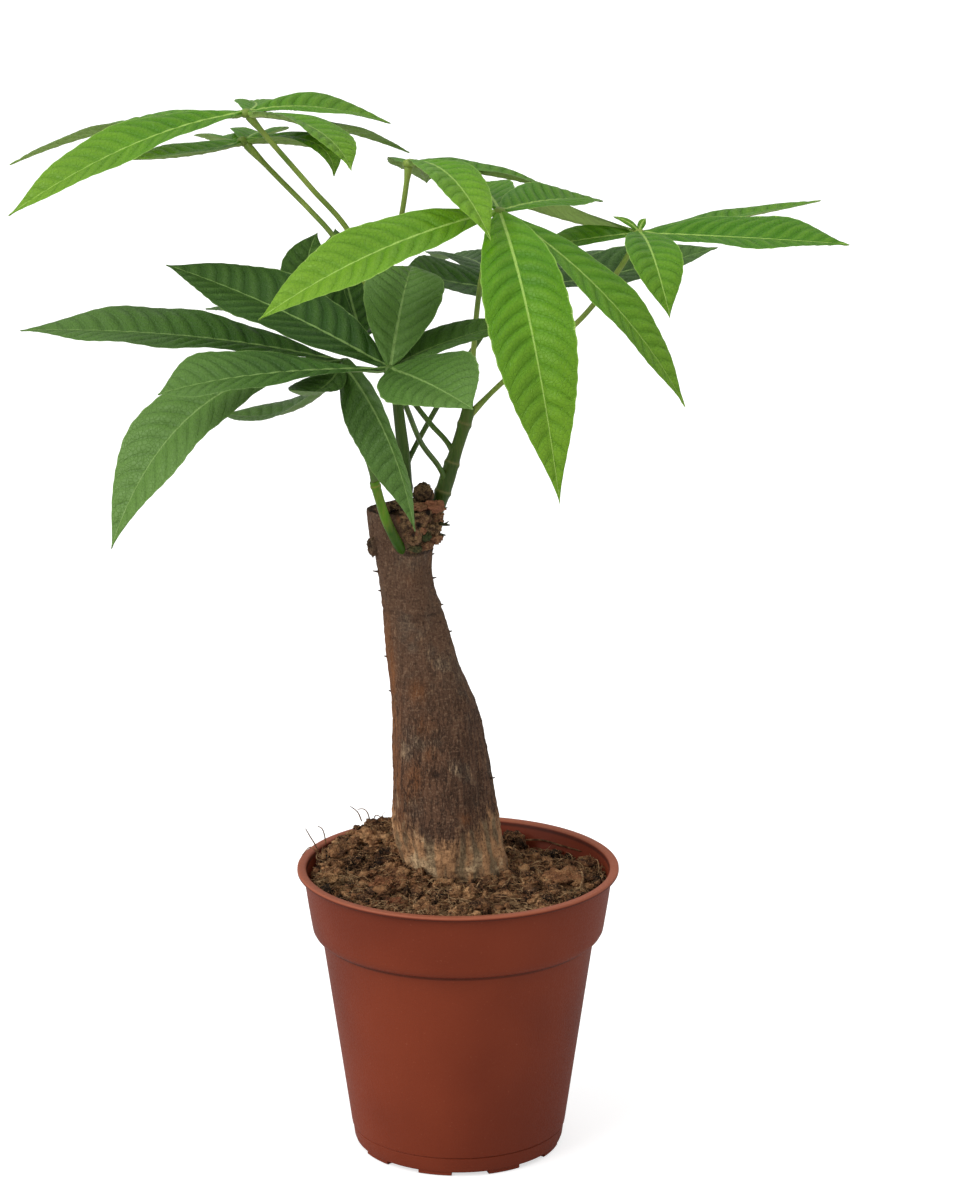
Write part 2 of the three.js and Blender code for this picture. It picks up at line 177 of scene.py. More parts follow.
def stations(curve: Curve, steps: int, upper: Vector) -> list[Station]:
    """Frames along a curve, carried without turning from its middle.

    Args:
        curve: The place at a share of the curve from 0 to 1.
        steps: How many equal stretches the curve is cut into.
        upper: The direction that the upper side looks at in the middle.

    Returns:
        One station for each end of a stretch.
    """
    nudge = 0.25 / steps
    shares = [i / steps for i in range(steps + 1)]
    ahead = [curve(min(1.0, share + nudge)) - curve(max(0.0, share - nudge)) for share in shares]
    runs = [stretch.normalized() for stretch in ahead]
    middle = steps // 2
    ups = [upper] * (steps + 1)
    ups[middle] = square(upper, runs[middle])
    for i in range(middle + 1, steps + 1):
        ups[i] = square(ups[i - 1], runs[i])
    for i in range(middle - 1, -1, -1):
        ups[i] = square(ups[i + 1], runs[i])
    return [Station(curve(share), up.cross(run), up) for share, run, up in zip(shares, runs, ups)]


def through(points: Sequence[Point]) -> Curve:
    """A smooth curve through some points.

    Args:
        points: The points in order.

    Returns:
        A function from a share of the curve to a place on it.
    """
    knots = [Vector(p) for p in points]

    def curve(share: float) -> Vector:
        """The place at a share of the curve, by a cubic between two knots.

        Args:
            share: The share.

        Returns:
            The place.
        """
        along = min(share, LAST) * (len(knots) - 1)
        i = int(along)
        t = along - i
        a, b = knots[i], knots[i + 1]
        before = knots[i - 1] if i > 0 else a * 2 - b
        after = knots[i + 2] if i + 2 < len(knots) else b * 2 - a
        leave, arrive = (b - before) / 2, (after - a) / 2
        t2, t3 = t * t, t * t * t
        return (a * (2 * t3 - 3 * t2 + 1) + leave * (t3 - 2 * t2 + t)
                + b * (3 * t2 - 2 * t3) + arrive * (t3 - t2))

    return curve


def bent(root: Vector, middle: Vector, end: Vector) -> Curve:
    """A simple curve through three points, with the second one half way along it."""
    control = middle * 2 - (root + end) / 2
    return lambda t: root * (1 - t) ** 2 + control * 2 * t * (1 - t) + end * t ** 2


class Mesher:
    """A mesh in the making, with the layers that its finishes read."""

    def __init__(self) -> None:
        """Starts an empty mesh."""
        self.parts: list[bpy.types.Mesh] = []
        self.start()

    def start(self) -> None:
        """Starts a new part of the mesh."""
        self.bm = bmesh.new()
        self.blade = self.bm.loops.layers.uv.new("blade")
        self.veins = self.bm.loops.layers.uv.new("veins")
        self.layers = {name: self.bm.verts.layers.float.new(name) for name in LAYERS}

    def set_aside(self) -> None:
        """Keeps what is made so far as a finished part, because a small mesh is quicker to add to."""
        for vert in self.bm.verts:
            vert.co *= METRE
        bmesh.ops.recalc_face_normals(self.bm, faces=self.bm.faces)
        self.parts.append(to_mesh(self.bm, "part"))
        self.start()

    def wrap(self, steps: int, sides: int, place: Callable[[float, float], Vector],
             uv: Callable[[float, float], tuple[Sequence[float], Sequence[float]]] | None = None,
             values: Layered | None = None, slot: Callable[[float, float], int] | None = None,
             crease: Callable[[float], bool] | None = None) -> None:
        """Wraps a grid round a curve into a closed skin. Rings of no size at its ends close it.

        Args:
            steps: How many stretches the skin has along its length.
            sides: How many it has round its girth.
            place: The place at a share of the length and a share of the girth.
            uv: The two texture places there, if the finish reads them.
            values: The values of the named layers there.
            slot: The material slot of the face in the middle there.
            crease: Whether the lengthwise edges at a share of the girth are sharp.
        """
        made = bmesh.ops.create_grid(self.bm, x_segments=steps, y_segments=sides, size=1.0)["verts"]
        flat = {v: ((v.co.x + 1) / 2, (v.co.y + 1) / 2) for v in made}
        texture = {v: uv(*spot) for v, spot in flat.items()} if uv else {}
        for face in {f for v in made for f in v.link_faces}:
            face.smooth = True
            spots = [flat[v] for v in face.verts]
            if slot:
                face.material_index = slot(sum(s[0] for s in spots) / 4, sum(s[1] for s in spots) / 4)
            if uv:
                for loop in face.loops:
                    loop[self.blade].uv, loop[self.veins].uv = texture[loop.vert]
        if crease:
            for edge in {e for v in made for e in v.link_edges}:
                (_, one), (_, other) = flat[edge.verts[0]], flat[edge.verts[1]]
                if abs(one - other) < NEAR and crease(one):
                    edge.smooth = False
        for vert, (share, turn) in flat.items():
            vert.co = place(share, turn)
            if values:
                for name, value in values(share, turn).items():
                    vert[self.layers[name]] = value
        bmesh.ops.remove_doubles(self.bm, verts=made, dist=1e-5)

    def rod(self, curve: Curve, steps: int, sides: int, radius: Reach,
            upper: Point = (0.3, -1, 0.1), **dress: Callable) -> None:
        """A closed round rod along a curve.

        Args:
            curve: The place at a share of the rod.
            steps: How many stretches it has.
            sides: How many sides it has.
            radius: Its radius at a share of the length and of the girth.
            upper: The way the first side looks.
            **dress: What wrap takes besides.
        """
        line = stations(curve, steps, Vector(upper))

        def place(share: float, turn: float) -> Vector:
            """The place on the rod's skin.

            Args:
                share: The share of the length.
                turn: The share of the girth.

            Returns:
                The place.
            """
            step = round(share * steps)
            spot = line[step]
            reach = 0.0 if step in (0, steps) else radius(share, turn)
            angle = math.tau * turn
            return spot.place + spot.side * reach * math.cos(angle) + spot.up * reach * math.sin(angle)

        self.wrap(steps, sides, place, **dress)

    def strand(self, curve: Curve, steps: int, sides: int, thick: float, values: dict[str, float],
               thin: float = 0.6, upper: Point = (0.1, 0.2, 1)) -> None:
        """A rod that tapers to its end.

        Args:
            curve: The place at a share of the strand.
            steps: How many stretches it has.
            sides: How many sides it has.
            thick: Its radius at the root.
            values: The values of the named layers on it.
            thin: The share of the radius that is left at the end.
            upper: The way the first side looks.
        """
        self.rod(curve, steps, sides, lambda share, turn: thick * (1 - (1 - thin) * share), upper=upper,
                 values=lambda share, turn: values)

    def lump(self, centre: Vector, reach: Vector, rough: float, seed: float, subdivisions: int = 2,
             slot: int = 0, grain: float = 0.0, **values: float) -> None:
        """A rough rounded lump.

        Args:
            centre: Its middle.
            reach: Half its size along each axis.
            rough: How far its skin goes in and out, as a share.
            seed: A place in the noise, for a shape of its own.
            subdivisions: How finely it is cut.
            slot: Its material slot.
            grain: How far finer bumps go in and out, as a share.
            **values: The values of the named layers on it.
        """
        made = bmesh.ops.create_icosphere(self.bm, subdivisions=subdivisions, radius=1.0)["verts"]
        turned = noise.random_unit_vector()
        for vert in made:
            swell = 1 + rough * noise.noise(vert.co * 1.7 + Vector((seed, -seed, seed * 0.7)))
            swell += grain * noise.noise(vert.co * 5.5 + Vector((seed, seed, 2)))
            spot = vert.co * swell
            spot += turned * 0.15 * spot.dot(turned)
            vert.co = centre + spot * reach
            for name, value in values.items():
                vert[self.layers[name]] = value
            for face in vert.link_faces:
                face.smooth = True
                face.material_index = slot

    def finish(self, name: str, materials: Sequence[bpy.types.Material], record_slot: str,
               *nodes: str) -> bpy.types.Object:
        """Turns the mesh into a piece in metres, at the origin, on the one body.

        Args:
            name: The piece's name.
            materials: Its finishes, in the order of its slots.
            record_slot: The record's material slot; not used.
            *nodes: The solids that it stands for, if any.

        Returns:
            The piece.
        """
        self.set_aside()
        self.bm.free()
        pieces = []
        for mesh in self.parts:
            for material in materials:
                mesh.materials.append(material)
            pieces.append(add_object(name, mesh))
        piece = pieces[0]
        if len(pieces) > 1:
            with bpy.context.temp_override(active_object=piece, object=piece, selected_objects=pieces,
                                           selected_editable_objects=pieces):
                bpy.ops.object.join()
        for mesh in self.parts[1:]:
            bpy.data.meshes.remove(mesh)
        piece.name = piece.data.name = name
        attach(piece, "root")
        if nodes:
            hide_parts(*nodes)
        LOG.info("%s: %d faces", name, len(piece.data.polygons))
        return piece


class Board:
    """The nodes of a material or of a shader group."""

    def __init__(self, tree: bpy.types.NodeTree) -> None:
        """Starts on a node tree."""
        self.tree = tree

    def fill(self, node: bpy.types.Node, values: dict[str | int, Feed]) -> bpy.types.Node:
        """Fills a node's inputs: a socket is linked, a value is set.

        Args:
            node: The node.
            values: What goes into its inputs, by name or number.

        Returns:
            The node.
        """
        for name, value in values.items():
            if isinstance(value, Socket):
                self.tree.links.new(value, node.inputs[name])
            else:
                node.inputs[name].default_value = value
        return node

    def put(self, kind: str, values: dict[str | int, Feed] | None = None,
            **settings: object) -> bpy.types.Node:
        """Adds a node.

        Args:
            kind: The node's type, without the words ShaderNode.
            values: What goes into its inputs, by name or number.
            **settings: The node's own settings.

        Returns:
            The node.
        """
        node = self.tree.nodes.new("ShaderNode" + kind)
        for name, value in settings.items():
            setattr(node, name, value)
        return self.fill(node, values or {})

    def math(self, operation: str, *values: Feed) -> Socket:
        """The result of a sum on one or two values."""
        return self.put("Math", dict(enumerate(values)), operation=operation).outputs[0]

    def times(self, one: Feed, other: Feed) -> Socket:
        """One value times another."""
        return self.math("MULTIPLY", one, other)

    def plus(self, one: Feed, other: Feed) -> Socket:
        """One value plus another."""
        return self.math("ADD", one, other)

    def minus(self, one: Feed, other: Feed) -> Socket:
        """One value less another."""
        return self.math("SUBTRACT", one, other)

    def mix(self, share: Feed, low: Feed, high: Feed) -> Socket:
        """A blend of two colours, each a socket or a colour in display steps."""
        low, high = (tint(colour) if isinstance(colour, tuple) else colour for colour in (low, high))
        return self.put("Mix", {0: share, 6: low, 7: high}, data_type="RGBA").outputs[2]

    def coats(self, colour: Feed, *layers: tuple[Feed, Feed]) -> Socket:
        """A colour with others laid over it in turn.

        Args:
            colour: The first colour.
            *layers: The share and the colour of each one over it.

        Returns:
            The last blend.
        """
        for share, coat in layers:
            colour = self.mix(share, colour, coat)
        return colour

    def step(self, value: Feed, low: float, high: float, start: float = 0.0, end: float = 1.0) -> Socket:
        """A soft step from start to end as the value goes from low to high."""
        return self.put("MapRange", {"Value": value, "From Min": low, "From Max": high, "To Min": start,
                                     "To Max": end}, interpolation_type="SMOOTHSTEP").outputs[0]

    def noise(self, vector: Socket, scale: Feed, detail: float, rough: float = 0.5) -> Socket:
        """Cloudy noise at a place, from 0 to 1."""
        return self.put("TexNoise", {"Vector": vector, "Scale": scale, "Detail": detail,
                                     "Roughness": rough}).outputs[0]

    def stretch(self, scale: Feed) -> Socket:
        """The place on the object with each axis scaled."""
        return self.put("Mapping", {"Vector": self.here(), "Scale": scale}).outputs[0]

    def streaks(self, across: float, along: float, detail: float, rough: float = 0.5) -> Socket:
        """Noise of one scale across the object and another up it."""
        return self.noise(self.stretch((across, across, along)), 1.0, detail, rough)

    def value(self, name: str) -> Socket:
        """The value of a named layer of the mesh."""
        return self.put("Attribute", attribute_name=name).outputs["Fac"]

    def here(self) -> Socket:
        """The place on the object, in metres."""
        return self.put("TexCoord").outputs["Object"]

    def height(self) -> Socket:
        """The height on the object, in metres."""
        return self.put("SeparateXYZ", {0: self.here()}).outputs[2]

    def bump(self, height: Socket, distance: float, strength: float = 1.0) -> Socket:
        """A normal bent by a height, where a height of 1 is so many metres."""
        return self.put("Bump", {"Height": height, "Distance": distance, "Strength": strength}).outputs[0]

    def group(self, tree: bpy.types.NodeTree, **values: float) -> bpy.types.NodeOutputs:
        """The outputs of a shader group that is placed with its own values."""
        named = {name.replace("_", " "): value for name, value in values.items()}
        return self.put("Group", named, node_tree=tree).outputs


def new_group(name: str, inputs: dict[str, float],
              outputs: Sequence[str]) -> tuple[Board, bpy.types.NodeOutputs, bpy.types.Node]:
    """Starts a shader group.

    Args:
        name: The group's name.
        inputs: Its number inputs and their usual values.
        outputs: Its number outputs.

    Returns:
        The board to build it on, the sockets that its inputs come in by, and its output node.
    """
    tree = bpy.data.node_groups.new(name, "ShaderNodeTree")
    for label, usual in inputs.items():
        tree.interface.new_socket(label, in_out="INPUT", socket_type="NodeSocketFloat").default_value = usual
    for label in outputs:
        tree.interface.new_socket(label, in_out="OUTPUT", socket_type="NodeSocketFloat")
    return Board(tree), tree.nodes.new("NodeGroupInput").outputs, tree.nodes.new("NodeGroupOutput")


def new_material(name: str) -> tuple[bpy.types.Material, Board, bpy.types.Node]:
    """Starts a material.

    Args:
        name: The material's name.

    Returns:
        The material, the board to build it on and its surface shader.
    """
    material = bpy.data.materials.new(name)
    material.use_nodes = True
    return material, Board(material.node_tree), material.node_tree.nodes["Principled BSDF"]


class Effects:
    """The shader groups that several finishes share, each built once."""

    def __init__(self) -> None:
        """Builds the groups."""
        self.mottle = self._mottle()
        self.vein_net = self._vein_net()
        self.threads = self._threads()

    @staticmethod
    def _mottle() -> bpy.types.NodeTree:
        """Uneven tone at two scales.

        Returns:
            The group, with the outputs Broad and Fine from 0 to 1.
        """
        board, given, leave = new_group("mottle", {"Broad Scale": 40.0, "Fine Scale": 400.0, "Upright": 1.0},
                                        ("Broad", "Fine"))
        place = board.stretch(board.put("CombineXYZ", {0: 1.0, 1: 1.0, 2: given["Upright"]}).outputs[0])
        for label, detail in (("Broad", 2.0), ("Fine", 4.0)):
            cloud = board.noise(place, given[label + " Scale"], detail)
            board.fill(leave, {label: board.step(cloud, 0.3, 0.7)})
        return board.tree

    @staticmethod
    def _threads() -> bpy.types.NodeTree:
        """Thin curled lines that cross each other.

        Returns:
            The group, with the output Threads from 0 to 1.
        """
        board, given, leave = new_group("threads", {"Size": 300.0, "Thickness": 0.02}, ("Threads",))
        lines = []
        for turn, shift in ((0.4, 0.0), (1.7, 5.0)):
            place = board.put("Mapping", {"Vector": board.here(), "Rotation": (turn, 0.3, turn),
                                          "Location": (shift, shift, shift)}).outputs[0]
            cloud = board.put("TexNoise", {"Vector": place, "Scale": given["Size"], "Detail": 1.0,
                                           "Distortion": 1.6}).outputs[0]
            apart = board.math("ABSOLUTE", board.minus(cloud, 0.5))
            line = board.step(board.math("DIVIDE", apart, given["Thickness"]), 0.4, 1.0, 1.0, 0.0)
            lines.append(board.times(line, board.step(board.noise(place, 140.0, 1.0), 0.42, 0.56)))
        board.fill(leave, {"Threads": board.math("MAXIMUM", *lines)})
        return board.tree

    @staticmethod
    def _vein_net() -> bpy.types.NodeTree:
        """The veins of a leaflet, from the texture places that its mesh carries.

        Returns:
            The group, with the outputs Midrib, Lateral, Puff, Net and Edge from 0 to 1 and Along, the share
            of the length.
        """
        board, given, leave = new_group("vein net",
                                        {"Midrib Width": 0.62, "Lateral Width": 0.13, "Net Size": 1.5},
                                        ("Midrib", "Lateral", "Puff", "Net", "Edge", "Along"))
        blade, veins = (board.put("SeparateXYZ", {0: board.put("UVMap", uv_map=name).outputs[0]}).outputs
                        for name in ("blade", "veins"))
        along, phase, column = blade[0], veins[0], veins[1]
        taper = board.times(given["Midrib Width"], board.step(along, 0.0, 1.0, 1.0, 0.25))
        ratio = board.math("DIVIDE", board.math("ABSOLUTE", blade[1]), taper)
        apart = board.math("ABSOLUTE", board.minus(board.math("FRACT", phase), 0.5))
        near = board.minus(0.5, apart)
        width = board.times(given["Lateral Width"], board.step(column, 0.0, 1.0, 1.3, 0.45))
        line = board.step(board.math("DIVIDE", near, width), 0.3, 1.0, 1.0, 0.0)
        cells = board.put("TexVoronoi", {"Vector": board.here(),
                                         "Scale": board.math("DIVIDE", 1 / METRE, given["Net Size"])},
                          feature="DISTANCE_TO_EDGE")
        board.fill(leave, {
            "Midrib": board.step(ratio, 0.55, 1.1, 1.0, 0.0),
            "Lateral": board.times(line, board.step(column, 0.75, 1.0, 1.0, 0.0)),
            "Puff": board.times(board.step(near, 0.12, 0.5), board.step(column, 0.6, 1.0, 1.0, 0.2)),
            "Net": board.step(cells.outputs[0], 0.0, 0.12, 1.0, 0.0),
            "Edge": board.step(column, 0.955, 0.99),
            "Along": along})
        return board.tree


@dataclass(frozen=True)
class Finish:
    """What the finishes share."""

    name: str

    def build(self, effects: Effects) -> bpy.types.Material:
        """Builds the material.

        Args:
            effects: The shared shader groups.

        Returns:
            The material.
        """
        material, board, shader = new_material(self.name)
        board.fill(shader, self.surface(board, effects))
        return material

    def surface(self, board: Board, effects: Effects) -> dict[str, Feed]:
        """What goes into the surface shader, which each finish sets out for itself."""
        raise NotImplementedError


@dataclass(frozen=True)
class BladeFinish(Finish):
    """The finish of one side of a leaflet."""

    base: Colour
    deep: Colour
    end: Colour
    # On the upper sides a dark colour, painted shade for the vein creases; on the undersides the pale veins'
    # own colour.
    vein: Colour
    midrib: Colour
    vein_share: float
    roughness: float
    relief: float

    def surface(self, board: Board, effects: Effects) -> dict[str, Feed]:
        """The green of the blade, its tip and its veins, with a painted highlight on the puffs between the
        side veins and, on the upper side, painted shade in the creases of the veins.

        Args:
            board: The board to build it on.
            effects: The shared shader groups.

        Returns:
            What goes into the surface shader.
        """
        tone = board.group(effects.mottle, Broad_Scale=45.0, Fine_Scale=900.0)
        net = board.group(effects.vein_net)
        age = board.value("tone")
        green = board.coats(
            self.base,
            (board.times(tone["Broad"], 0.6), self.deep),
            (board.step(net["Along"], 0.3, 1.0, 0.0, 0.62), self.end),
            (board.step(age, 0.0, 1.0, 0.0, 0.85), self.deep),
            (board.step(age, 0.0, -1.0, 0.0, 0.9), self.end),
            # Painted highlight: the puffs between the side veins are lightened.
            (board.times(net["Puff"], 0.23), self.end),
            # On the upper sides the vein colour is dark, painted shade in the creases of the net and the side
            # veins; on the undersides it is the veins' own pale colour.
            (board.times(net["Net"], 0.14), self.vein),
            (board.times(tone["Fine"], 0.12), self.deep),
            (board.times(net["Lateral"], self.vein_share), self.vein),
            (board.times(net["Edge"], 0.5), self.midrib),
            (board.times(net["Midrib"], 0.85), self.midrib))
        lines = board.plus(board.times(net["Net"], -0.5), board.times(net["Lateral"], -self.relief))
        height = board.plus(lines, board.times(tone["Fine"], 0.2))
        return {"Base Color": green,
                "Roughness": board.step(tone["Fine"], 0.0, 1.0, self.roughness - 0.05, self.roughness + 0.07),
                "Normal": board.bump(height, 0.00018), "Specular IOR Level": 0.2}


@dataclass(frozen=True)
class StalkFinish(Finish):
    """The finish of a green stem or petiole. The mark layer dries it to bark."""

    base: Colour
    deep: Colour
    dry: Colour

    def surface(self, board: Board, effects: Effects) -> dict[str, Feed]:
        """Smooth green skin with fine upright flecks.

        Args:
            board: The board to build it on.
            effects: The shared shader groups.

        Returns:
            What goes into the surface shader.
        """
        tone = board.group(effects.mottle, Broad_Scale=120.0, Fine_Scale=1200.0, Upright=0.12)
        colour = board.coats(
            self.base,
            (tone["Broad"], self.deep),
            (board.times(tone["Fine"], 0.25), self.dry),
            (board.value("moss"), self.deep),
            (board.value("mark"), self.dry))
        return {"Base Color": colour, "Roughness": board.step(tone["Fine"], 0.0, 1.0, 0.38, 0.5),
                "Normal": board.bump(tone["Fine"], 0.0001, 0.6), "Specular IOR Level": 0.25}


@dataclass(frozen=True)
class PlasticFinish(Finish):
    """Moulded terracotta-brown plastic with light specks and a painted highlight along the top of the rim."""

    name: str = "terracotta plastic"
    base: Colour = (121, 50, 27)
    deep: Colour = (107, 42, 22)
    wear_and_highlight: Colour = (172, 104, 78)
    shade: Colour = (60, 22, 12)
    rim_height: float = 107.0
    shelf_height: float = 82.0
    roughness: float = 0.52

    def surface(self, board: Board, effects: Effects) -> dict[str, Feed]:
        """Brown plastic with faint upright flow lines, painted shade under the rim's lip and in the corner
        under the shelf, and a painted highlight along the top of the rim.

        Args:
            board: The board to build it on.
            effects: The shared shader groups.

        Returns:
            What goes into the surface shader.
        """
        tone = board.group(effects.mottle, Broad_Scale=18.0, Fine_Scale=1500.0)
        flow = board.streaks(260.0, 14.0, 3.0)
        height = board.height()

        def rise(level: float, low: float, high: float) -> Socket:
            """A soft step near a level, with its two ends as millimetres above the level."""
            return board.step(height, (level + low) * METRE, (level + high) * METRE)

        # Painted shade: a dark band under the rolled lip of the rim, and another in the corner under the
        # shelf.
        lip = board.times(rise(self.rim_height, -1.0, -0.2), rise(self.rim_height, 0.8, 0.3))
        shelf_shade = board.times(rise(self.shelf_height, -0.9, -0.3), rise(self.shelf_height, 1.6, 0.7))
        specks = board.step(board.noise(board.here(), 1100.0, 2.0), 0.68, 0.76)
        colour = board.coats(
            self.base,
            (tone["Broad"], self.deep),
            (board.step(flow, 0.55, 0.8, 0.0, 0.25), self.deep),
            (board.times(lip, 0.75), self.shade),
            # Painted highlight: the top of the rim is lightened with the pale colour.
            (board.times(rise(self.rim_height, 0.6, 1.1), 0.55), self.wear_and_highlight),
            (board.times(shelf_shade, 0.62), self.shade),
            (board.times(specks, 0.16), self.wear_and_highlight))
        grain = board.plus(board.times(tone["Fine"], 0.5), board.times(flow, 0.7))
        return {"Base Color": colour,
                "Roughness": board.step(tone["Fine"], 0.0, 1.0, self.roughness - 0.05, self.roughness + 0.08),
                "Normal": board.bump(grain, 0.00006, 0.7), "Specular IOR Level": 0.16}


@dataclass(frozen=True)
class EarthFinish(Finish):
    """Potting soil. The tone layer picks the shade of each crumb, from dark peat to tan fibre."""

    shades: tuple[Colour, ...]
    grain_scale: float = 1100.0
    thread_share: float = 0.7
    reddish: Colour = (132, 80, 54)
    olive: Colour = (104, 100, 62)

    def surface(self, board: Board, effects: Effects) -> dict[str, Feed]:
        """The shade of each crumb, with fine threads across it.

        Args:
            board: The board to build it on.
            effects: The shared shader groups.

        Returns:
            What goes into the surface shader.
        """
        tone = board.group(effects.mottle, Broad_Scale=260.0, Fine_Scale=self.grain_scale)
        spread = board.plus(board.value("tone"), board.times(tone["Broad"], 0.6))
        ramp = board.put("ValToRGB", {0: board.minus(spread, 0.24)})
        stops = ramp.color_ramp.elements
        while len(stops) < len(self.shades):
            stops.new(0.5)
        for i, shade in enumerate(self.shades):
            stops[i].position = i / (len(self.shades) - 1)
            stops[i].color = tint(shade)
        threads = board.group(effects.threads, Size=420.0, Thickness=0.025)[0]
        colour = board.coats(
            ramp.outputs[0],
            (board.times(tone["Fine"], 0.4), self.shades[0]),
            (board.times(threads, self.thread_share), self.shades[-1]),
            (board.times(board.value("warm"), 0.8), self.reddish),
            (board.times(board.value("moss"), 0.5), self.olive))
        grain = board.plus(tone["Fine"], board.times(threads, 0.6))
        return {"Base Color": colour, "Roughness": 0.95, "Normal": board.bump(grain, 0.0007),
                "Specular IOR Level": 0.15}


@dataclass(frozen=True)
class BarkFinish(Finish):
    """Bark of a young trunk: brown-grey fibres with thin dark fissures, pale at the foot.

    The mark layer holds the callus, moss the green patches, warm the reddish patches and the orange of the
    left side, which is a painted highlight on the lit side, pale the foot, and tone the dark of the knobs,
    the cut top and the callus's lower edge and the painted shade in the pits and the neck crease.
    """

    name: str = "young bark"
    upper: Colour = (98, 72, 55)
    lower: Colour = (93, 66, 49)
    dark: Colour = (46, 32, 24)
    fleck: Colour = (146, 118, 94)
    orange: Colour = (136, 84, 46)
    grey: Colour = (84, 76, 66)
    foot: Colour = (178, 134, 94)
    cream: Colour = (216, 184, 142)
    foot_green: Colour = (132, 112, 84)
    callus: Colour = (144, 114, 80)
    callus_dark: Colour = (64, 46, 32)
    salmon: Colour = (148, 96, 70)
    moss: Colour = (52, 66, 36)
    # The dark of the knobs and the cut top, and painted shade in the pits and the neck crease.
    dark_and_pit_shade: Colour = (26, 18, 14)

    def surface(self, board: Board, effects: Effects) -> dict[str, Feed]:
        """Fibres, fissures and flecks, then the pale foot, the callus, the moss and the dark of the tone
        layer over them, which is painted shade in the pits and the neck crease.

        Args:
            board: The board to build it on.
            effects: The shared shader groups.

        Returns:
            What goes into the surface shader.
        """
        here, low = board.here(), board.step(board.height(), 0.15, 0.205, 1.0, 0.0)
        fibre = board.streaks(1900.0, 420.0, 4.0, 0.65)
        streak = board.streaks(560.0, 105.0, 4.0, 0.68)
        waver = board.streaks(260.0, 34.0, 2.0)
        level = board.streaks(50.0, 520.0, 3.0, 0.6)
        speck = board.streaks(900.0, 1300.0, 3.0, 0.6)
        blotch = board.noise(here, 85.0, 4.0, 0.6)
        furrow = board.plus(board.times(low, 0.7), 0.3)
        fissure = board.step(board.math("ABSOLUTE", board.minus(streak, 0.47)), 0.006, 0.026, 1.0, 0.0)
        fissure = board.times(fissure, board.plus(board.times(low, 0.75), 0.08))
        ragged = board.minus(board.plus(board.plus(streak, fibre), blotch), 1.5)
        foot = board.step(board.plus(board.value("pale"), board.times(ragged, 1.5)), 0.15, 1.1)
        pale = board.coats(
            self.foot,
            (board.step(waver, 0.46, 0.62), self.foot_green),
            (board.step(blotch, 0.56, 0.68, 0.0, 0.85), self.cream),
            (board.step(speck, 0.5, 0.34, 0.0, 0.6), self.lower),
            (board.step(streak, 0.44, 0.34, 0.0, 0.45), self.dark))
        scar = board.coats(
            self.callus_dark,
            (board.step(board.noise(here, 620.0, 4.0, 0.65), 0.4, 0.6), self.callus),
            (board.times(board.value("warm"), 0.85), self.salmon))
        colour = board.coats(
            self.upper,
            (low, self.lower),
            (board.step(blotch, 0.5, 0.7, 0.0, 0.55), self.grey),
            (board.times(board.step(streak, 0.5, 0.36, 0.0, 0.5), furrow), self.dark),
            (board.step(level, 0.54, 0.68, 0.0, 0.3), self.dark),
            (board.step(speck, 0.52, 0.7, 0.0, 0.45), self.fleck),
            (board.step(speck, 0.46, 0.3, 0.0, 0.5), self.dark),
            (board.times(board.value("warm"), board.step(waver, 0.36, 0.6, 0.35, 1.0)), self.orange),
            (fissure, self.dark),
            (board.step(fibre, 0.46, 0.34, 0.0, 0.55), self.dark),
            (board.step(fibre, 0.58, 0.7, 0.0, 0.5), self.fleck),
            (board.times(foot, 0.9), pale),
            (board.value("mark"), scar),
            (board.value("moss"), self.moss),
            (board.value("tone"), self.dark_and_pit_shade))
        tone = board.group(effects.mottle, Broad_Scale=70.0, Fine_Scale=900.0, Upright=0.4)
        grain = board.plus(board.times(fibre, 0.7), board.times(tone["Fine"], 0.2))
        grain = board.plus(grain, board.plus(board.times(streak, furrow), speck))
        grain = board.minus(grain, board.times(fissure, 0.5))
        return {"Base Color": colour, "Roughness": board.step(fibre, 0.3, 0.7, 0.94, 0.8),
                "Normal": board.bump(grain, 0.0007, 0.9), "Specular IOR Level": 0.2}


@dataclass(frozen=True)
class Blade:
    """A leaflet: the middle of its midrib, its tip, its width, the way its face looks, its fold, the share of
    its length where it is widest and its tone, from light at -1 to deep green at 1. The tone holds the
    leaflet's own green and painted light: leaflets that lie in shade or are lit through from behind are made
    lighter.
    """

    mid: Point
    tip: Point
    width: float
    face: Point
    fold: float = 12.0
    widest: float = 0.532
    tone: float = 0.3


@dataclass(frozen=True)
class Leaf:
    """A compound leaf: its age, the run of its petiole, its hub and its leaflets."""

    name: str
    growth: Growth
    petiole: tuple[Point, ...]
    hub: Point
    blades: tuple[Blade, ...]


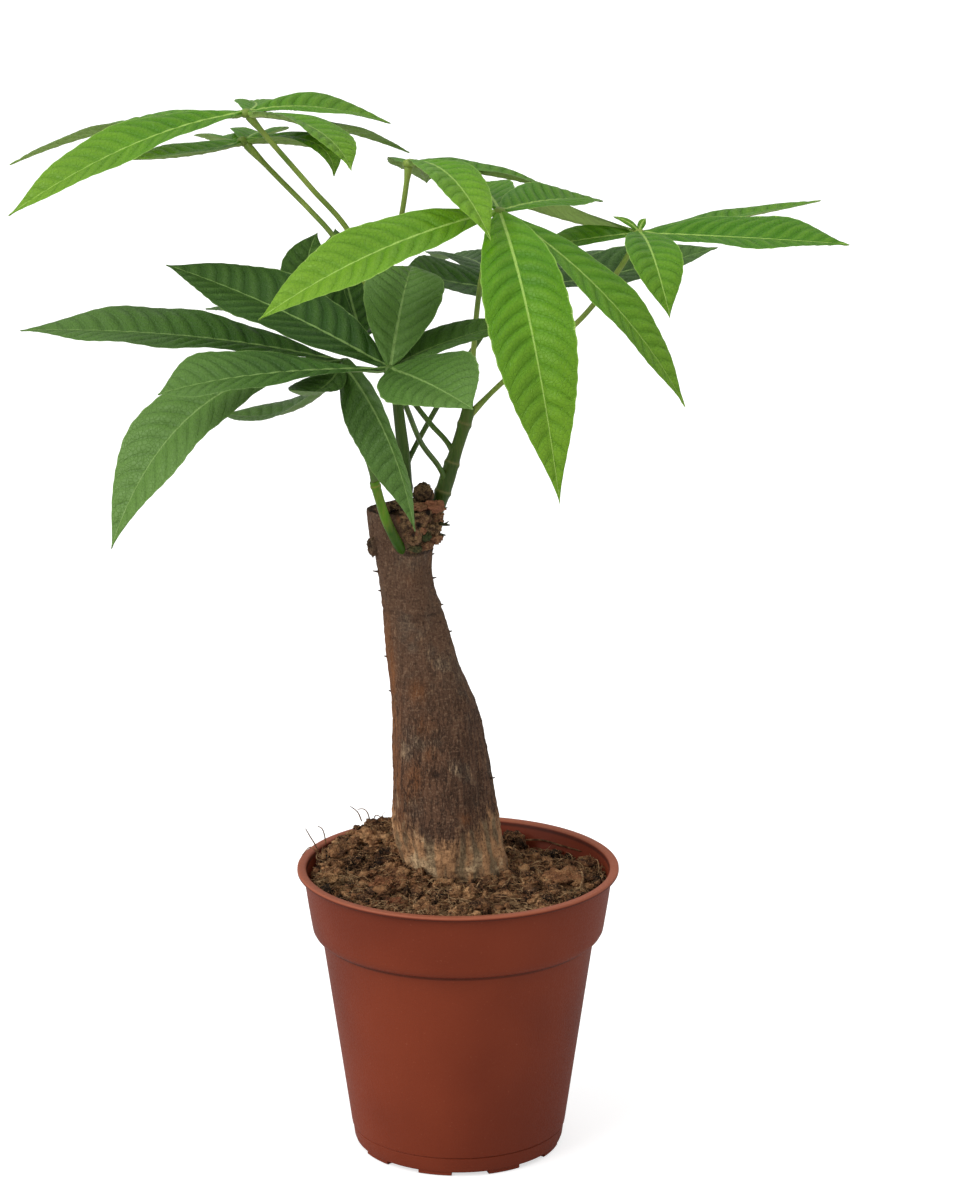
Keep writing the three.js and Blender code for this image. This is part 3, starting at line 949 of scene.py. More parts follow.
LEAVES = (
    Leaf("leaf_1", Growth.YOUNG,
         petiole=((-24.6, 8, 318.5), (-38.9, 8, 345.2), (-52, 8, 360.5), (-64.4, 8, 375)),
         hub=(-75, 8, 387.5), blades=(
        Blade((-114, -10, 378.4), (-157, -25, 355.5), 27, (0, -0.3, 1), widest=0.58, tone=0.1),
        Blade((-121, 30, 380), (-165, 45, 364), 22, (0, 0, 1), tone=0.4),
        Blade((-73, 34, 387.4), (-78.5, 60, 385.5), 16, (0, 0, 1), tone=0.6),
        Blade((-52, 22, 387.8), (-24, 34, 380.6), 20, (0, -0.3, 1), widest=0.6, tone=0.5),
        Blade((-50, -20, 385.5), (-36, -40, 373.5), 21, (0.2, 0, 1), tone=0.2),
        Blade((-46, 38, 378.8), (-18, 68, 365.5), 17, (0.1, 0.05, 1), tone=0.6),
    )),
    Leaf("leaf_2", Growth.YOUNG,
         petiole=((-24, 8, 311.5), (-30, 11.5, 321), (-43.8, 18, 340.4), (-52.7, 22, 350), (-65.6, 29, 362)),
         hub=(-78, 35, 374), blades=(
        Blade((-97, 29, 370.1), (-119, 24, 369), 24, (0, -0.05, 1), tone=0.35),
        Blade((-74, 62, 373.5), (-74, 88, 368.5), 22, (0, 0, 1), tone=0.6),
        Blade((-53, 26, 374.8), (-44.5, 20, 363), 17, (0.1, -0.1, 1), tone=0.5),
        Blade((-88, 66, 371), (-93, 92, 366.5), 20, (0, 0, 1), tone=0.6),
        Blade((-58, 54, 370.5), (-44, 76, 363), 20, (0, 0, 1), tone=0.6),
    )),
    Leaf("leaf_3", Growth.YOUNG,
         petiole=((4, 3, 280.5), (5.4, -1, 292.5), (6, -5, 305.5), (8, -14, 327.5), (12, -28, 349.5)),
         hub=(15, -35, 358.5), blades=(
        Blade((-27, -58, 348.1), (-67, -75, 327.5), 27, (0, -0.5, 1), tone=-0.3),
        Blade((25.6, -75, 324.5), (35.5, -85, 265.5), 29.5, (0.05, -1, 0.3), widest=0.47, tone=0.1),
        Blade((51.3, -58, 332.6), (78.8, -65, 295.5), 24, (0.5, -0.4, 0.8), tone=0.25),
        Blade((33, -10, 358.8), (53, 22, 354), 24, (0.1, -0.25, 1), tone=0.7),
        Blade((9, -2, 361.5), (1, 30, 357.5), 22, (0, 0, 1), tone=0.6),
    )),
    Leaf("leaf_4", Growth.YOUNG,
         petiole=((-25, 8, 328.5), (-22.8, 7.2, 337.5), (-19.5, 5.5, 353.5)),
         hub=(-17, 5, 370), blades=(
        Blade((-2, -31, 370), (12, -60, 352.5), 20, (0.1, -0.2, 1), tone=0.15),
        Blade((12, 28, 363), (36, 45, 354.5), 22, (0.1, -0.1, 1), tone=0.55),
        Blade((-18.5, 20, 367.5), (-20.5, 36, 364), 12, (0, 0, 1), tone=0.6),
        Blade((-14, 44, 363.5), (-12, 80, 352.5), 24, (0, 0, 1), tone=0.6),
    )),
    Leaf("leaf_5", Growth.YOUNG,
         petiole=((3, 3, 277.5), (18, 3, 292.5), (43, 4, 312.5), (58, 1, 332.5)),
         hub=(65, 0, 345.5), blades=(
        Blade((102, -12, 345.7), (138, -25, 345.5), 29, (0, -0.27, 1), tone=1.0),
        Blade((99, 25, 347.2), (134, 45, 351), 16, (0, 0, 1), tone=0.7),
        Blade((68.5, -30, 342.5), (74, -48, 323.3), 19.5, (0.1, -0.3, 1), tone=0.45),
        Blade((46, 2, 343), (29, 2, 339.8), 17, (-0.1, -0.3, 1), tone=0.6),
        Blade((41, 28, 346.3), (17, 52, 350.3), 24, (0, 0.8, 1), tone=-0.6),
        Blade((61.5, 1, 349), (55.5, 2, 351.5), 3.4, (0, -0.5, 1), tone=0.2),
        Blade((66, 2, 348.6), (67.6, 3, 350.6), 3, (0, -0.5, 1), tone=0.2),
    )),
    Leaf("leaf_6", Growth.MATURE,
         petiole=((-19.2, 8, 257.5), (-16, 11, 264.5), (-6, 18, 281.5), (8, 32, 301.5)),
         hub=(21, 40, 318.5), blades=(
        Blade((61, 50, 323.2), (97, 55, 332), 30, (0, -0.25, 1), tone=0.5),
        Blade((-3, 30, 323), (-19, 20, 330), 26, (0, -0.45, 1), tone=0.4),
        Blade((39, 85, 322.5), (55, 125, 315.5), 28, (0, 0, 1), tone=0.5),
        Blade((4, 85, 322.5), (-8, 122, 315.5), 28, (0, 0, 1), tone=0.5),
    )),
    Leaf("leaf_7", Growth.MATURE,
         petiole=((-4, 3, 254), (-7, -2.5, 261.5), (-13, -14, 272.5), (-18, -32, 289.5)),
         hub=(-23, -48, 305.5), blades=(
        Blade((-18.8, -32, 327.5), (-16, 2, 333.5), 28, (0, -0.8, 0.5), tone=-0.6),
        Blade((-3, -40, 313.6), (24, -32, 319.8), 21, (0, -0.2, 1), tone=-0.4),
        Blade((-9, -75, 305.5), (6, -100, 302), 34, (-0.42, -0.15, 1), tone=-0.3),
        Blade((-67, -62, 306.3), (-102, -70, 301), 33, (0, -0.28, 1), widest=0.68, tone=0.1),
        Blade((-63, -25, 322.5), (-104, -5, 335.2), 32.5, (0.2, -0.5, 0.9), tone=0.8),
    )),
    Leaf("leaf_8", Growth.MATURE,
         petiole=((-29.3, -19.7, 258.3), (-32, -21.5, 268.5), (-37, -22, 285.5)),
         hub=(-40, -20, 302.5), blades=(
        Blade((-96, -5, 309.1), (-158, 5, 309.6), 31, (0, -0.3, 1), widest=0.62, tone=0.1),
        Blade((-89.4, -46, 291.2), (-120, -62, 244.5), 31, (-0.4, -0.6, 0.65), widest=0.6, tone=-0.6),
        Blade((-59.5, 4, 280.8), (-88, 25, 275), 20, (0, -0.35, 1), widest=0.6, tone=-0.5),
        Blade((-23.4, -50, 281), (-14.6, -44, 246.5), 21, (-0.8, -0.6, 0.2), fold=30, widest=0.4, tone=-0.42),
        Blade((-48.8, -32, 294.6), (-58.6, -44, 297.8), 20, (0, 0, 1), tone=-0.4),
    )),
    Leaf("leaf_9", Growth.MATURE,
         petiole=((-0.8, 3, 264.5), (-4.6, 5, 269.6), (-9.7, 8, 274.5), (-15.6, 13, 281), (-27, 19, 295.5)),
         hub=(-35, 20, 304.5), blades=(
        Blade((-40.5, 38, 319.5), (-46, 60, 338.5), 29, (0, -0.6, 0.8), tone=0.3),
        Blade((-52.5, 15, 324.5), (-51, 30, 341.5), 22, (0.1, -0.9, 0.4), tone=0.4),
        Blade((-66, 35, 309.5), (-94, 45, 310.5), 25, (0, 0, 1), tone=0.4),
        Blade((-26, 52, 307.5), (-22, 90, 307.5), 25, (0, 0, 1), tone=0.5),
        Blade((-50, 54, 305.5), (-62, 88, 304.5), 25, (0, 0, 1), tone=0.5),
    )),
)


QUILT = {Growth.YOUNG: 1.15, Growth.MATURE: 1.05}


@dataclass
class BladeShape:
    """The form of one leaflet: a folded, arched and quilted blade that narrows to a stalk."""

    blade: Blade
    hub: Point
    growth: Growth
    phase: float
    thickness: float = 0.42
    stalk: float = 1.7
    arch: float = 0.05
    wave: float = 0.045
    wave_length: float = 34.0
    vein_slant: float = 0.55
    vein_sweep: float = 0.4
    full_width: float = 28.0
    small_width: float = 8.0

    def __post_init__(self) -> None:
        """Works out the curve of the midrib and how finely the blade is cut."""
        curve = bent(Vector(self.hub), Vector(self.blade.mid), Vector(self.blade.tip))
        rough = [curve(i / 40) for i in range(41)]
        self.length = sum((b - a).length for a, b in zip(rough, rough[1:]))
        self.steps = max(14, min(160, round(self.length * 1.35)))
        self.columns = 18 if self.blade.width > self.small_width else 6
        self.line = stations(curve, self.steps, Vector(self.blade.face))
        self.veins = max(6, round(4 + self.length / 8.5))
        self.quilt = QUILT[self.growth] * min(1.0, self.blade.width / self.full_width)

    def half_width(self, share: float) -> float:
        """Half the width of the blade.

        Args:
            share: The share of the length.

        Returns:
            Half the width.
        """
        skewed = share ** (math.log(0.5) / math.log(self.blade.widest))
        outline = math.sin(math.pi * skewed) ** (0.75 + 0.55 * share ** 3) if 0 < share < 1 else 0.0
        return max(between(self.stalk, 0.25, smooth(0, 0.12, share)) / 2, self.blade.width / 2 * outline)

    def vein_phase(self, share: float, column: float) -> float:
        """Counts the side veins at a place on the blade, so that a vein runs where the count is whole.

        Args:
            share: The share of the length.
            column: The share of half the width, below 0 on the one side.

        Returns:
            The count.
        """
        half = self.half_width(share)
        off = abs(column)
        back = half * (self.vein_slant * off + self.vein_sweep * off ** 3)
        side = 0.0 if column > 0 else 0.42
        uneven = 0.22 * noise.noise(Vector((share * self.veins * 0.45, self.phase, 9 * side)))
        return (share - back / self.length) * self.veins + side + uneven

    def place(self, share: float, turn: float) -> Vector:
        """The place on the skin.

        Args:
            share: The share of the length.
            turn: The share of the girth.

        Returns:
            The place.
        """
        column, upper = (1 - 4 * turn, True) if turn <= 0.5 else (4 * turn - 3, False)
        step = round(share * self.steps)
        spot = self.line[step]
        if step in (0, self.steps):
            return spot.place.copy()
        half, off = self.half_width(share), abs(column)
        ripple = math.sin(math.tau * share * self.length / self.wave_length + self.phase + column)
        lift = off * math.tan(math.radians(self.blade.fold)) + (1 - abs(2 * off - 1)) * self.arch
        lift = (lift + column ** 2 * self.wave * ripple) * half
        phase = self.vein_phase(share, column)
        puff = (abs(math.sin(math.pi * phase)) ** 0.75 - 0.55) * (1 + 0.9 * noise.noise(
            Vector((share * self.length / 9, column * 1.5, self.phase))))
        reach = math.sin(math.pi * min(1.0, off * 0.9 + 0.06)) * math.sin(math.pi * share) ** 0.5
        lift += self.quilt * puff * reach
        scallop = 1 + 0.012 * math.sin(math.tau * phase) * smooth(0.7, 1.0, off)
        rib = bell(column * half, 0.75)
        thick = between(self.stalk, self.thickness, smooth(0.015, 0.1, share)) * (1 - off ** 6) / 2
        if upper:
            lift += thick + rib * 0.25 * (1 - share) * smooth(0.02, 0.15, share)
        else:
            lift -= thick + rib * between(0.9, 0.15, share) * smooth(0.0, 0.05, share)
            lift -= 0.16 * max(0.0, 1 - abs(math.sin(math.pi * phase)) * 3.5) * reach
        return spot.place + spot.side * column * half * scallop + spot.up * lift

    def texture(self, share: float, turn: float) -> tuple[Sequence[float], Sequence[float]]:
        """The texture places: the share and millimetres off the midrib, and the vein count and column."""
        column = 1 - 4 * turn if turn <= 0.5 else 4 * turn - 3
        return (share, column * self.half_width(share)), (self.vein_phase(share, column), abs(column))

    def grow(self, mesher: Mesher, tone: float) -> None:
        """Adds the leaflet to a mesh.

        Args:
            mesher: The mesh.
            tone: How deep its green is, from -1 to 1.
        """
        mesher.wrap(self.steps, 2 * self.columns, self.place, uv=self.texture,
                    values=lambda share, turn: {"tone": tone},
                    slot=lambda share, turn: (Skin.UPPER if turn < 0.5 else Skin.UNDER).value,
                    crease=lambda turn: min(turn, abs(turn - 0.5), 1 - turn) < NEAR)


@dataclass
class Foliage:
    """The nine compound leaves."""

    petiole_radius: float = 1.0
    foot_radius: float = 1.5
    joint_radius: float = 1.55
    hub_radius: float = 2.3
    steps: int = 44
    sides: int = 12
    uneven: float = 0.08
    seed: int = 7

    def finishes(self, effects: Effects) -> dict[Growth, list[bpy.types.Material]]:
        """Builds the finishes of young and mature leaves.

        Args:
            effects: The shared shader groups.

        Returns:
            Three materials for each age, in the order of Skin.
        """
        looks = {
            Growth.YOUNG: (
                BladeFinish("young leaf, upper side", base=(88, 140, 14), deep=(56, 108, 4),
                            end=(122, 160, 42), vein=(58, 108, 8), midrib=(154, 188, 90), vein_share=0.2,
                            roughness=0.42, relief=0.8),
                # The young underside is made paler than its own green: painted light standing for the light
                # that shines through the leaf.
                BladeFinish("young leaf, underside", base=(150, 184, 88), deep=(124, 162, 62),
                            end=(162, 190, 106), vein=(152, 176, 98), midrib=(160, 178, 104),
                            vein_share=0.45, roughness=0.55, relief=-0.8),
                StalkFinish("young stalk", base=(134, 158, 66), deep=(98, 128, 44), dry=(142, 134, 76))),
            Growth.MATURE: (
                BladeFinish("mature leaf, upper side", base=(56, 94, 26), deep=(34, 66, 12),
                            end=(100, 136, 62), vein=(38, 72, 20), midrib=(126, 156, 86), vein_share=0.14,
                            roughness=0.42, relief=0.7),
                BladeFinish("mature leaf, underside", base=(116, 148, 84), deep=(92, 126, 64),
                            end=(126, 156, 92), vein=(132, 154, 104), midrib=(140, 156, 110),
                            vein_share=0.45, roughness=0.58, relief=-0.8),
                StalkFinish("mature stalk", base=(84, 116, 48), deep=(56, 88, 32), dry=(112, 98, 60))),
        }
        return {growth: [finish.build(effects) for finish in finishes] for growth, finishes in looks.items()}

    def stalk(self, mesher: Mesher, leaf: Leaf) -> None:
        """Adds a petiole, thicker at its two joints, and the hub.

        Args:
            mesher: The mesh.
            leaf: The leaf.
        """
        def radius(share: float, turn: float) -> float:
            """The radius of the petiole, which swells at its foot and its end.

            Args:
                share: The share of the length.
                turn: The share of the girth.

            Returns:
                The radius.
            """
            foot = between(self.foot_radius, self.petiole_radius, smooth(0.0, 0.16, share))
            joint = (self.joint_radius - self.petiole_radius) * smooth(0.86, 0.97, share)
            return (foot + joint) * (1 + 0.03 * math.sin(3 * math.tau * turn + 9 * share))

        mesher.rod(through((*leaf.petiole, leaf.hub)), self.steps, self.sides, radius,
                   slot=lambda share, turn: Skin.STALK.value,
                   values=lambda share, turn: {"mark": 0.45 * smooth(0.1, 0.0, share),
                                               "moss": 0.5 * smooth(0.94, 1.0, share)})
        hub = Vector(leaf.hub)
        mesher.lump(hub, Vector((1, 1, 0.8)) * self.hub_radius, 0.12, seed=hub.x, slot=Skin.STALK.value,
                    moss=0.2)

    def build(self, effects: Effects) -> None:
        """Builds each compound leaf in the place of its solid.

        Args:
            effects: The shared shader groups.
        """
        finishes = self.finishes(effects)
        draw = random.Random(self.seed)
        for order, leaf in enumerate(LEAVES):
            mesher = Mesher()
            self.stalk(mesher, leaf)
            for i, blade in enumerate(leaf.blades):
                shape = BladeShape(blade, leaf.hub, leaf.growth, phase=2.4 * (order + i))
                shape.grow(mesher, tone=blade.tone + draw.uniform(-self.uneven, self.uneven))
                mesher.set_aside()
            mesher.finish(leaf.name + "_blades", finishes[leaf.growth], leaf.growth.value + "_leaf",
                          leaf.name)


@dataclass(frozen=True)
class StemRun:
    """A green stem: its axis, its radii, the shares where old leaves left a ring, and its greens."""

    name: str
    run: tuple[Point, ...]
    radii: tuple[float, ...]
    rings: tuple[float, ...]
    finish: StalkFinish


@dataclass
class Stems:
    """The three green stems that sprout from the trunk's head."""

    runs: tuple[StemRun, ...] = (
        StemRun("stem_right",
                ((-10.5, 3, 235.5), (-8, 3, 242.5), (-3.9, 3, 255), (0.2, 3, 267.9), (4.6, 3, 282.6)),
                (2.2, 2.7, 2.9, 2.3, 2.5), (0.41, 0.62, 0.88),
                StalkFinish("right stem", base=(66, 98, 18), deep=(42, 68, 10), dry=(120, 116, 66))),
        StemRun("stem_middle",
                ((-18.6, 7, 236.5), (-18.5, 8, 246.2), (-19.5, 8, 261.2), (-21.6, 8, 281.6),
                 (-23.4, 8, 305.6), (-25, 8, 330.5)),
                (1.9, 2.2, 2.3, 2, 1.9, 2), (0.27, 0.78, 0.9),
                StalkFinish("middle stem", base=(70, 104, 24), deep=(46, 76, 14), dry=(122, 122, 70))),
        StemRun("stem_front",
                ((-18.6, -6, 229), (-21.3, -12.6, 234.5), (-25, -16.2, 243), (-27.7, -18.3, 252),
                 (-29.7, -20, 259.8)),
                (1.4, 1.9, 1.8, 1.7, 1.8), (0.93,),
                StalkFinish("front stem", base=(88, 136, 12), deep=(40, 78, 4), dry=(150, 140, 64))),
    )
    ring_swell: float = 0.14
    steps: int = 120
    sides: int = 24

    def build(self, effects: Effects) -> None:
        """Builds each stem in the place of its solid.

        Args:
            effects: The shared shader groups.
        """
        for stem in self.runs:
            mesher = Mesher()
            mesher.rod(through(stem.run), self.steps, self.sides, partial(self.radius, stem),
                       values=partial(self.values, stem))
            mesher.finish(stem.name + "_shoot", [stem.finish.build(effects)], "green_stem", stem.name)

    def radius(self, stem: StemRun, share: float, turn: float) -> float:
        """The radius of a stem, a little more at each ring.

        Args:
            stem: The stem.
            share: The share of the length.
            turn: The share of the girth.

        Returns:
            The radius.
        """
        along = min(share, LAST) * (len(stem.radii) - 1)
        i = int(along)
        plain = between(stem.radii[i], stem.radii[i + 1], smooth(0, 1, along - i))
        swell = sum(bell(share - ring, 0.018) for ring in stem.rings)
        grain = 0.02 * math.sin(5 * math.tau * turn + 14 * share)
        return plain * (1 + self.ring_swell * swell + grain) * smooth(1.02, 0.985, share)

    def values(self, stem: StemRun, share: float, turn: float) -> dict[str, float]:
        """The layers of a stem: a dry scar above each ring, and a darker foot."""
        scar = sum(bell(share - ring - 0.014, 0.007) for ring in stem.rings)
        return {"mark": min(1.0, 0.75 * scar), "moss": 0.9 * smooth(0.6, 0.2, share)}


@dataclass(frozen=True)
class Knob:
    """A lump on the trunk: its middle, half its size, how rough it is and the values of its layers."""

    centre: Point
    reach: Point
    rough: float
    mark: float = 1.0
    warm: float = 0.0
    tone: float = 0.0
    moss: float = 0.0


@dataclass
class Trunk:
    """The bare trunk: a leaning column with a flared foot and a cut, callused head.

    The run gives heights, places of the axis across the trunk and radii. The foot line gives places across
    the trunk and heights. Pits and spots are places with sizes, bits are roots, ends and sizes, and thorns
    are heights, angles and lengths.
    """

    run: tuple[Point, ...] = (
        (66.5, 3, 9), (74.5, 3, 13.5), (86.5, 3, 15.5), (96, 3.2, 16.4), (103.7, 2.6, 16.9), (108, 1.1, 18.7),
        (111.8, -0.6, 19.5), (118.1, -2.9, 19.8), (124.4, -4.2, 19.8), (129.7, -5, 19.6), (134.9, -5.6, 19),
        (151.6, -7.4, 17.6), (167.8, -8.8, 15.9), (180.1, -11, 14),
        (191.1, -13.5, 12.4), (204.1, -15.6, 11.1), (218.1, -18.5, 9.7), (228.5, -19.5, 10.5),
        (233.5, -19.3, 12.4), (238.5, -18.7, 13.5), (244, -19, 13.6), (246.6, -19, 12.9), (247.4, -19, 9),
        (247, -19, 3),
    )
    lumps: float = 0.045
    head_height: float = 238.5
    head_slope: float = 0.1
    callus_foot: float = 230.5
    steps: int = 310
    sides: int = 150
    wrinkle: float = 207.6
    wrinkle_waver: float = 0.9
    flattened: float = 0.14
    scar_lumps: int = 16
    foot_line: tuple[tuple[float, float], ...] = (
        (-24, 133), (-21, 129), (-12, 124.4), (-5, 125.6), (1.5, 128), (8, 130.4), (14, 134.6), (20, 136),
    )
    bud_scar: Point = (-15.6, -13, 237.6)
    knobs: tuple[Knob, ...] = (
        Knob((-12.4, -2.5, 250.6), (3.1, 2.9, 4.4), 0.22, tone=0.5),
        Knob((-10.8, -4.2, 252.6), (1.6, 1.4, 1.5), 0.3, tone=0.15),
        Knob((-14.2, -4, 252.6), (1.2, 1.2, 1.4), 0.5, tone=0.35),
        Knob((-9.2, -7.4, 247.4), (3.9, 2.6, 2.1), 0.6, warm=1.0),
        Knob((-13.6, -9.6, 247.4), (2.6, 2.2, 1.7), 0.6, warm=0.6),
        Knob((-7.2, -6, 243.4), (2, 2.2, 2), 0.7, warm=0.3),
        Knob((-8, -9, 239.4), (1.9, 1.7, 2.1), 0.6),
        Knob((-11.8, -12.4, 243.8), (1.8, 1.4, 1.9), 0.7, warm=0.2),
        Knob((-9.4, -11, 241.2), (1.2, 1.2, 1.4), 0.7),
        Knob((-12.6, -12.6, 239.6), (1.3, 1.1, 1.2), 0.7, warm=0.7),
        Knob((-8, -8.6, 235.6), (2.1, 2, 1.9), 0.6, warm=0.5),
        Knob((-10.8, -10.8, 233.8), (2, 1.6, 1.5), 0.6, warm=0.35),
        Knob((-18.4, -12.4, 246.2), (2.2, 1.8, 1.5), 0.7, tone=0.3),
        Knob((-27, -9.4, 247.2), (2.6, 2.2, 1.3), 0.7, tone=0.45),
        Knob((-21.6, -6, 247.6), (3, 2.6, 1.3), 0.8, tone=0.3),
        Knob((-14.8, -12.8, 232.8), (1.8, 1.1, 1.2), 0.6, moss=0.7),
        Knob((-11.2, -12, 237), (1.4, 1, 1.5), 0.6, moss=0.9),
        Knob((-30.6, -5.2, 232), (2.1, 2.1, 3.2), 0.4, mark=0.1, tone=0.1),
        Knob((-31.8, -6.2, 233), (1.0, 1.1, 1.2), 0.5, mark=0.4, tone=0.45),
    )
    pits: Spots = (
        ((-22.5, -12.6, 247.6), 3.2), ((-10.8, -11, 246), 1.5), ((-9.8, -10.8, 242.8), 1.3),
        ((-8.2, -10.4, 240.8), 1.1), ((-16.1, -13.4, 238.2), 0.9), ((-14, -12.6, 241.6), 1.4),
        ((-13.4, -11.4, 244.6), 1.2), ((-9.4, -16.6, 163), 1.0), ((-8, -18.2, 149), 1.1),
        ((-13.4, -17, 171), 0.8), ((-27.6, -9.5, 247), 1.6), ((-12.2, -12.4, 235.2), 1.1),
    )
    moss_spots: Spots = (
        ((-14.4, -13, 232.6), 2.4), ((-11, -11.8, 237.4), 1.9), ((-16.8, -13, 233.2), 1.4),
    )
    warm_spots: Spots = (
        ((-14.4, -15.6, 180), 4.0), ((-12, -17, 167), 3.4), ((-16, -17, 147), 5.0), ((-19, -15, 140), 4.6),
        ((-10, -18, 157), 3.0), ((3, -18, 132), 2.6), ((-17, -12, 220), 2.0),
    )
    bits: tuple[tuple[Point, Point, float], ...] = (
        ((-7.4, -4, 245.6), (-3.4, -4.6, 246.4), 0.7), ((-6.8, -5, 240.6), (-2.4, -5.6, 240), 0.9),
        ((-4.6, -5.4, 240.4), (-3, -6, 241.8), 0.45), ((-7.4, -6, 237), (-4, -7, 236.6), 0.8),
    )
    thorns: tuple[tuple[float, float, float], ...] = (
        (221.6, 192, 2.2), (219, 352, 1.5), (214.4, 188, 1.0), (208.8, 354, 1.2), (198.8, 356, 1.3),
        (190, 186, 0.9), (176.6, 186, 0.8), (143.6, 352, 2.0), (165, 357, 0.8), (228.6, 350, 0.9),
    )

    def body(self, share: float, turn: float) -> Vector:
        """The place on the bark.

        Args:
            share: The share of the height.
            turn: The share of the girth.

        Returns:
            The place.
        """
        step = round(share * self.steps)
        height, axis, radius = self.curve(share)
        angle = math.tau * turn
        if step in (0, self.steps):
            return Vector((axis, 0, height))
        swell = 1 + self.lumps * (math.sin(3 * angle + height / 21) + 0.6 * math.sin(5 * angle - height / 13))
        reach = radius * swell
        spot = Vector((axis + reach * math.cos(angle), reach * math.sin(angle), height))
        spot.z += self.head_slope * reach * math.cos(angle) * smooth(self.head_height, 246, height)
        foot = smooth(150, 112, height)
        upright = Vector((spot.x, spot.y, spot.z * self.flattened))
        rough = 0.42 * noise.noise(upright * 0.3) + 0.3 * noise.noise(upright * 0.9)
        coarse = 1.1 * noise.noise(upright * 0.22 + Vector((5, 0, 0)))
        rough += foot * (coarse + 0.5 * noise.noise(spot * 0.5))
        rings = 0.22 * noise.noise(Vector((angle * 0.6, height * 0.55, 3.0)))
        past = self.past_wrinkle(height, turn)
        rings += 0.3 * bell(past - 1.3, 1.1) - 0.35 * bell(past, 0.7)
        mark = self.callus(spot)
        knobbly = 1.5 * cell(spot * 0.36, 0.45) + 0.9 * cell(spot * 0.9, 0.45)
        knobbly += 0.35 * noise.noise(spot * 2.1)
        top = smooth(245.5, 247.2, height)
        rough = between(between(rough + rings, knobbly, mark), 0.0, top)
        for centre, size in self.pits:
            rough -= bell((spot - Vector(centre)).length, size) * size * 0.6
        spot += around(1, angle) * rough
        spot.z += top * (-1.4 + 1.3 * cell(spot * 0.4, 0.5) + 0.5 * noise.noise(spot * 1.1))
        return spot

    def past_wrinkle(self, height: float, turn: float) -> float:
        """How far a place lies above the wrinkle round the neck."""
        return height - self.wrinkle - self.wrinkle_waver * math.sin(math.tau * turn * 2 + 1)

    def callus(self, spot: Vector) -> float:
        """How far a place belongs to the healed wood at the right of the head, from 0 to 1.

        Args:
            spot: The place.

        Returns:
            The share.
        """
        lip = self.callus_foot + 1.2 * noise.noise(Vector((spot.x * 0.3, spot.y * 0.3, 0)))
        side = smooth(-21.5, -17.5, spot.x + 0.25 * (spot.z - 238) + 1.5 * noise.noise(spot * 0.3))
        return smooth(lip - 0.6, lip + 0.8, spot.z) * side

    def foot_edge(self, across: float) -> float:
        """The height of the upper edge of the pale foot.

        Args:
            across: The place across the trunk.

        Returns:
            The height.
        """
        for (x0, z0), (x1, z1) in zip(self.foot_line, self.foot_line[1:]):
            if across < x1:
                return between(z0, z1, smooth(x0, x1, across))
        return self.foot_line[-1][1]

    def values(self, share: float, turn: float) -> dict[str, float]:
        """The layers of the bark: callus, moss, warm patches and a painted highlight on the lit left side,
        the pale foot, and the dark of the cut top and the callus's lower edge with painted shade in the pits
        and the neck crease.

        Args:
            share: The share of the height.
            turn: The share of the girth.

        Returns:
            The values of the named layers.
        """
        spot = self.body(share, turn)
        height, axis, radius = self.curve(share)
        # The first of these darkens the pits: painted shade.
        dark_and_pit_shade, moss, warm = (max(bell((spot - Vector(centre)).length, size, power) for centre, size in spots)
                           for spots, power in ((self.pits, 4), (self.moss_spots, 4), (self.warm_spots, 2)))
        # Painted highlight: the left flank of the trunk below the head, on the lit side, is made orange and
        # lighter.
        side = smooth(-0.62, -0.97, (spot.x - axis) / radius) * smooth(216, 190, height)
        top = smooth(245.8, 247.0, height) * (0.55 + 0.6 * noise.noise(spot * 0.5))
        lip = smooth(1.4, 0.2, abs(spot.z - self.callus_foot)) * smooth(-21, -17, spot.x) * 0.7
        # Painted shade in the crease of the wrinkle round the neck.
        crease = 0.4 * bell(self.past_wrinkle(height, turn), 0.6) * (0.6 + noise.noise(spot * 0.35))
        mark = self.callus(spot)
        reddish = mark * smooth(0.1, 0.4, noise.noise(spot * 0.35))
        return {"mark": mark, "moss": min(1.0, moss * (0.8 + noise.noise(spot))),
                "warm": max(0.8 * side, 0.55 * warm * (1 - mark), reddish),
                "pale": smooth(6, -9, spot.z - self.foot_edge(spot.x) - 3 * noise.noise(spot * 0.28)),
                "tone": clamp(max(dark_and_pit_shade, top, lip, crease))}

    def build(self, effects: Effects) -> None:
        """Builds the trunk in the place of its solid.

        Args:
            effects: The shared shader groups.
        """
        self.curve: Curve = through(self.run)
        mesher = Mesher()
        mesher.wrap(self.steps, self.sides, self.body, values=self.values)
        for knob in self.knobs:
            mesher.lump(Vector(knob.centre), Vector(knob.reach), knob.rough, seed=knob.centre[0],
                        subdivisions=4, grain=0.25, mark=knob.mark, warm=knob.warm, tone=knob.tone,
                        moss=knob.moss)
        scar = Vector(self.bud_scar)
        for i in range(self.scar_lumps):
            angle = math.tau * i / self.scar_lumps
            rim = scar + Vector((2.2 * math.cos(angle), -0.3, 2.6 * math.sin(angle)))
            mesher.lump(rim, Vector((0.85, 0.8, 0.8)), 0.5, seed=i * 1.3, mark=0.55, warm=0.1)
        for root, end, size in self.bits:
            self.spike(mesher, Vector(root), Vector(end), size, moss=0.85)
        for height, angle, length in self.thorns:
            self.thorn(mesher, height, math.radians(angle), length)
        mesher.finish("trunk_bark", [BarkFinish().build(effects)], "bark", "trunk")

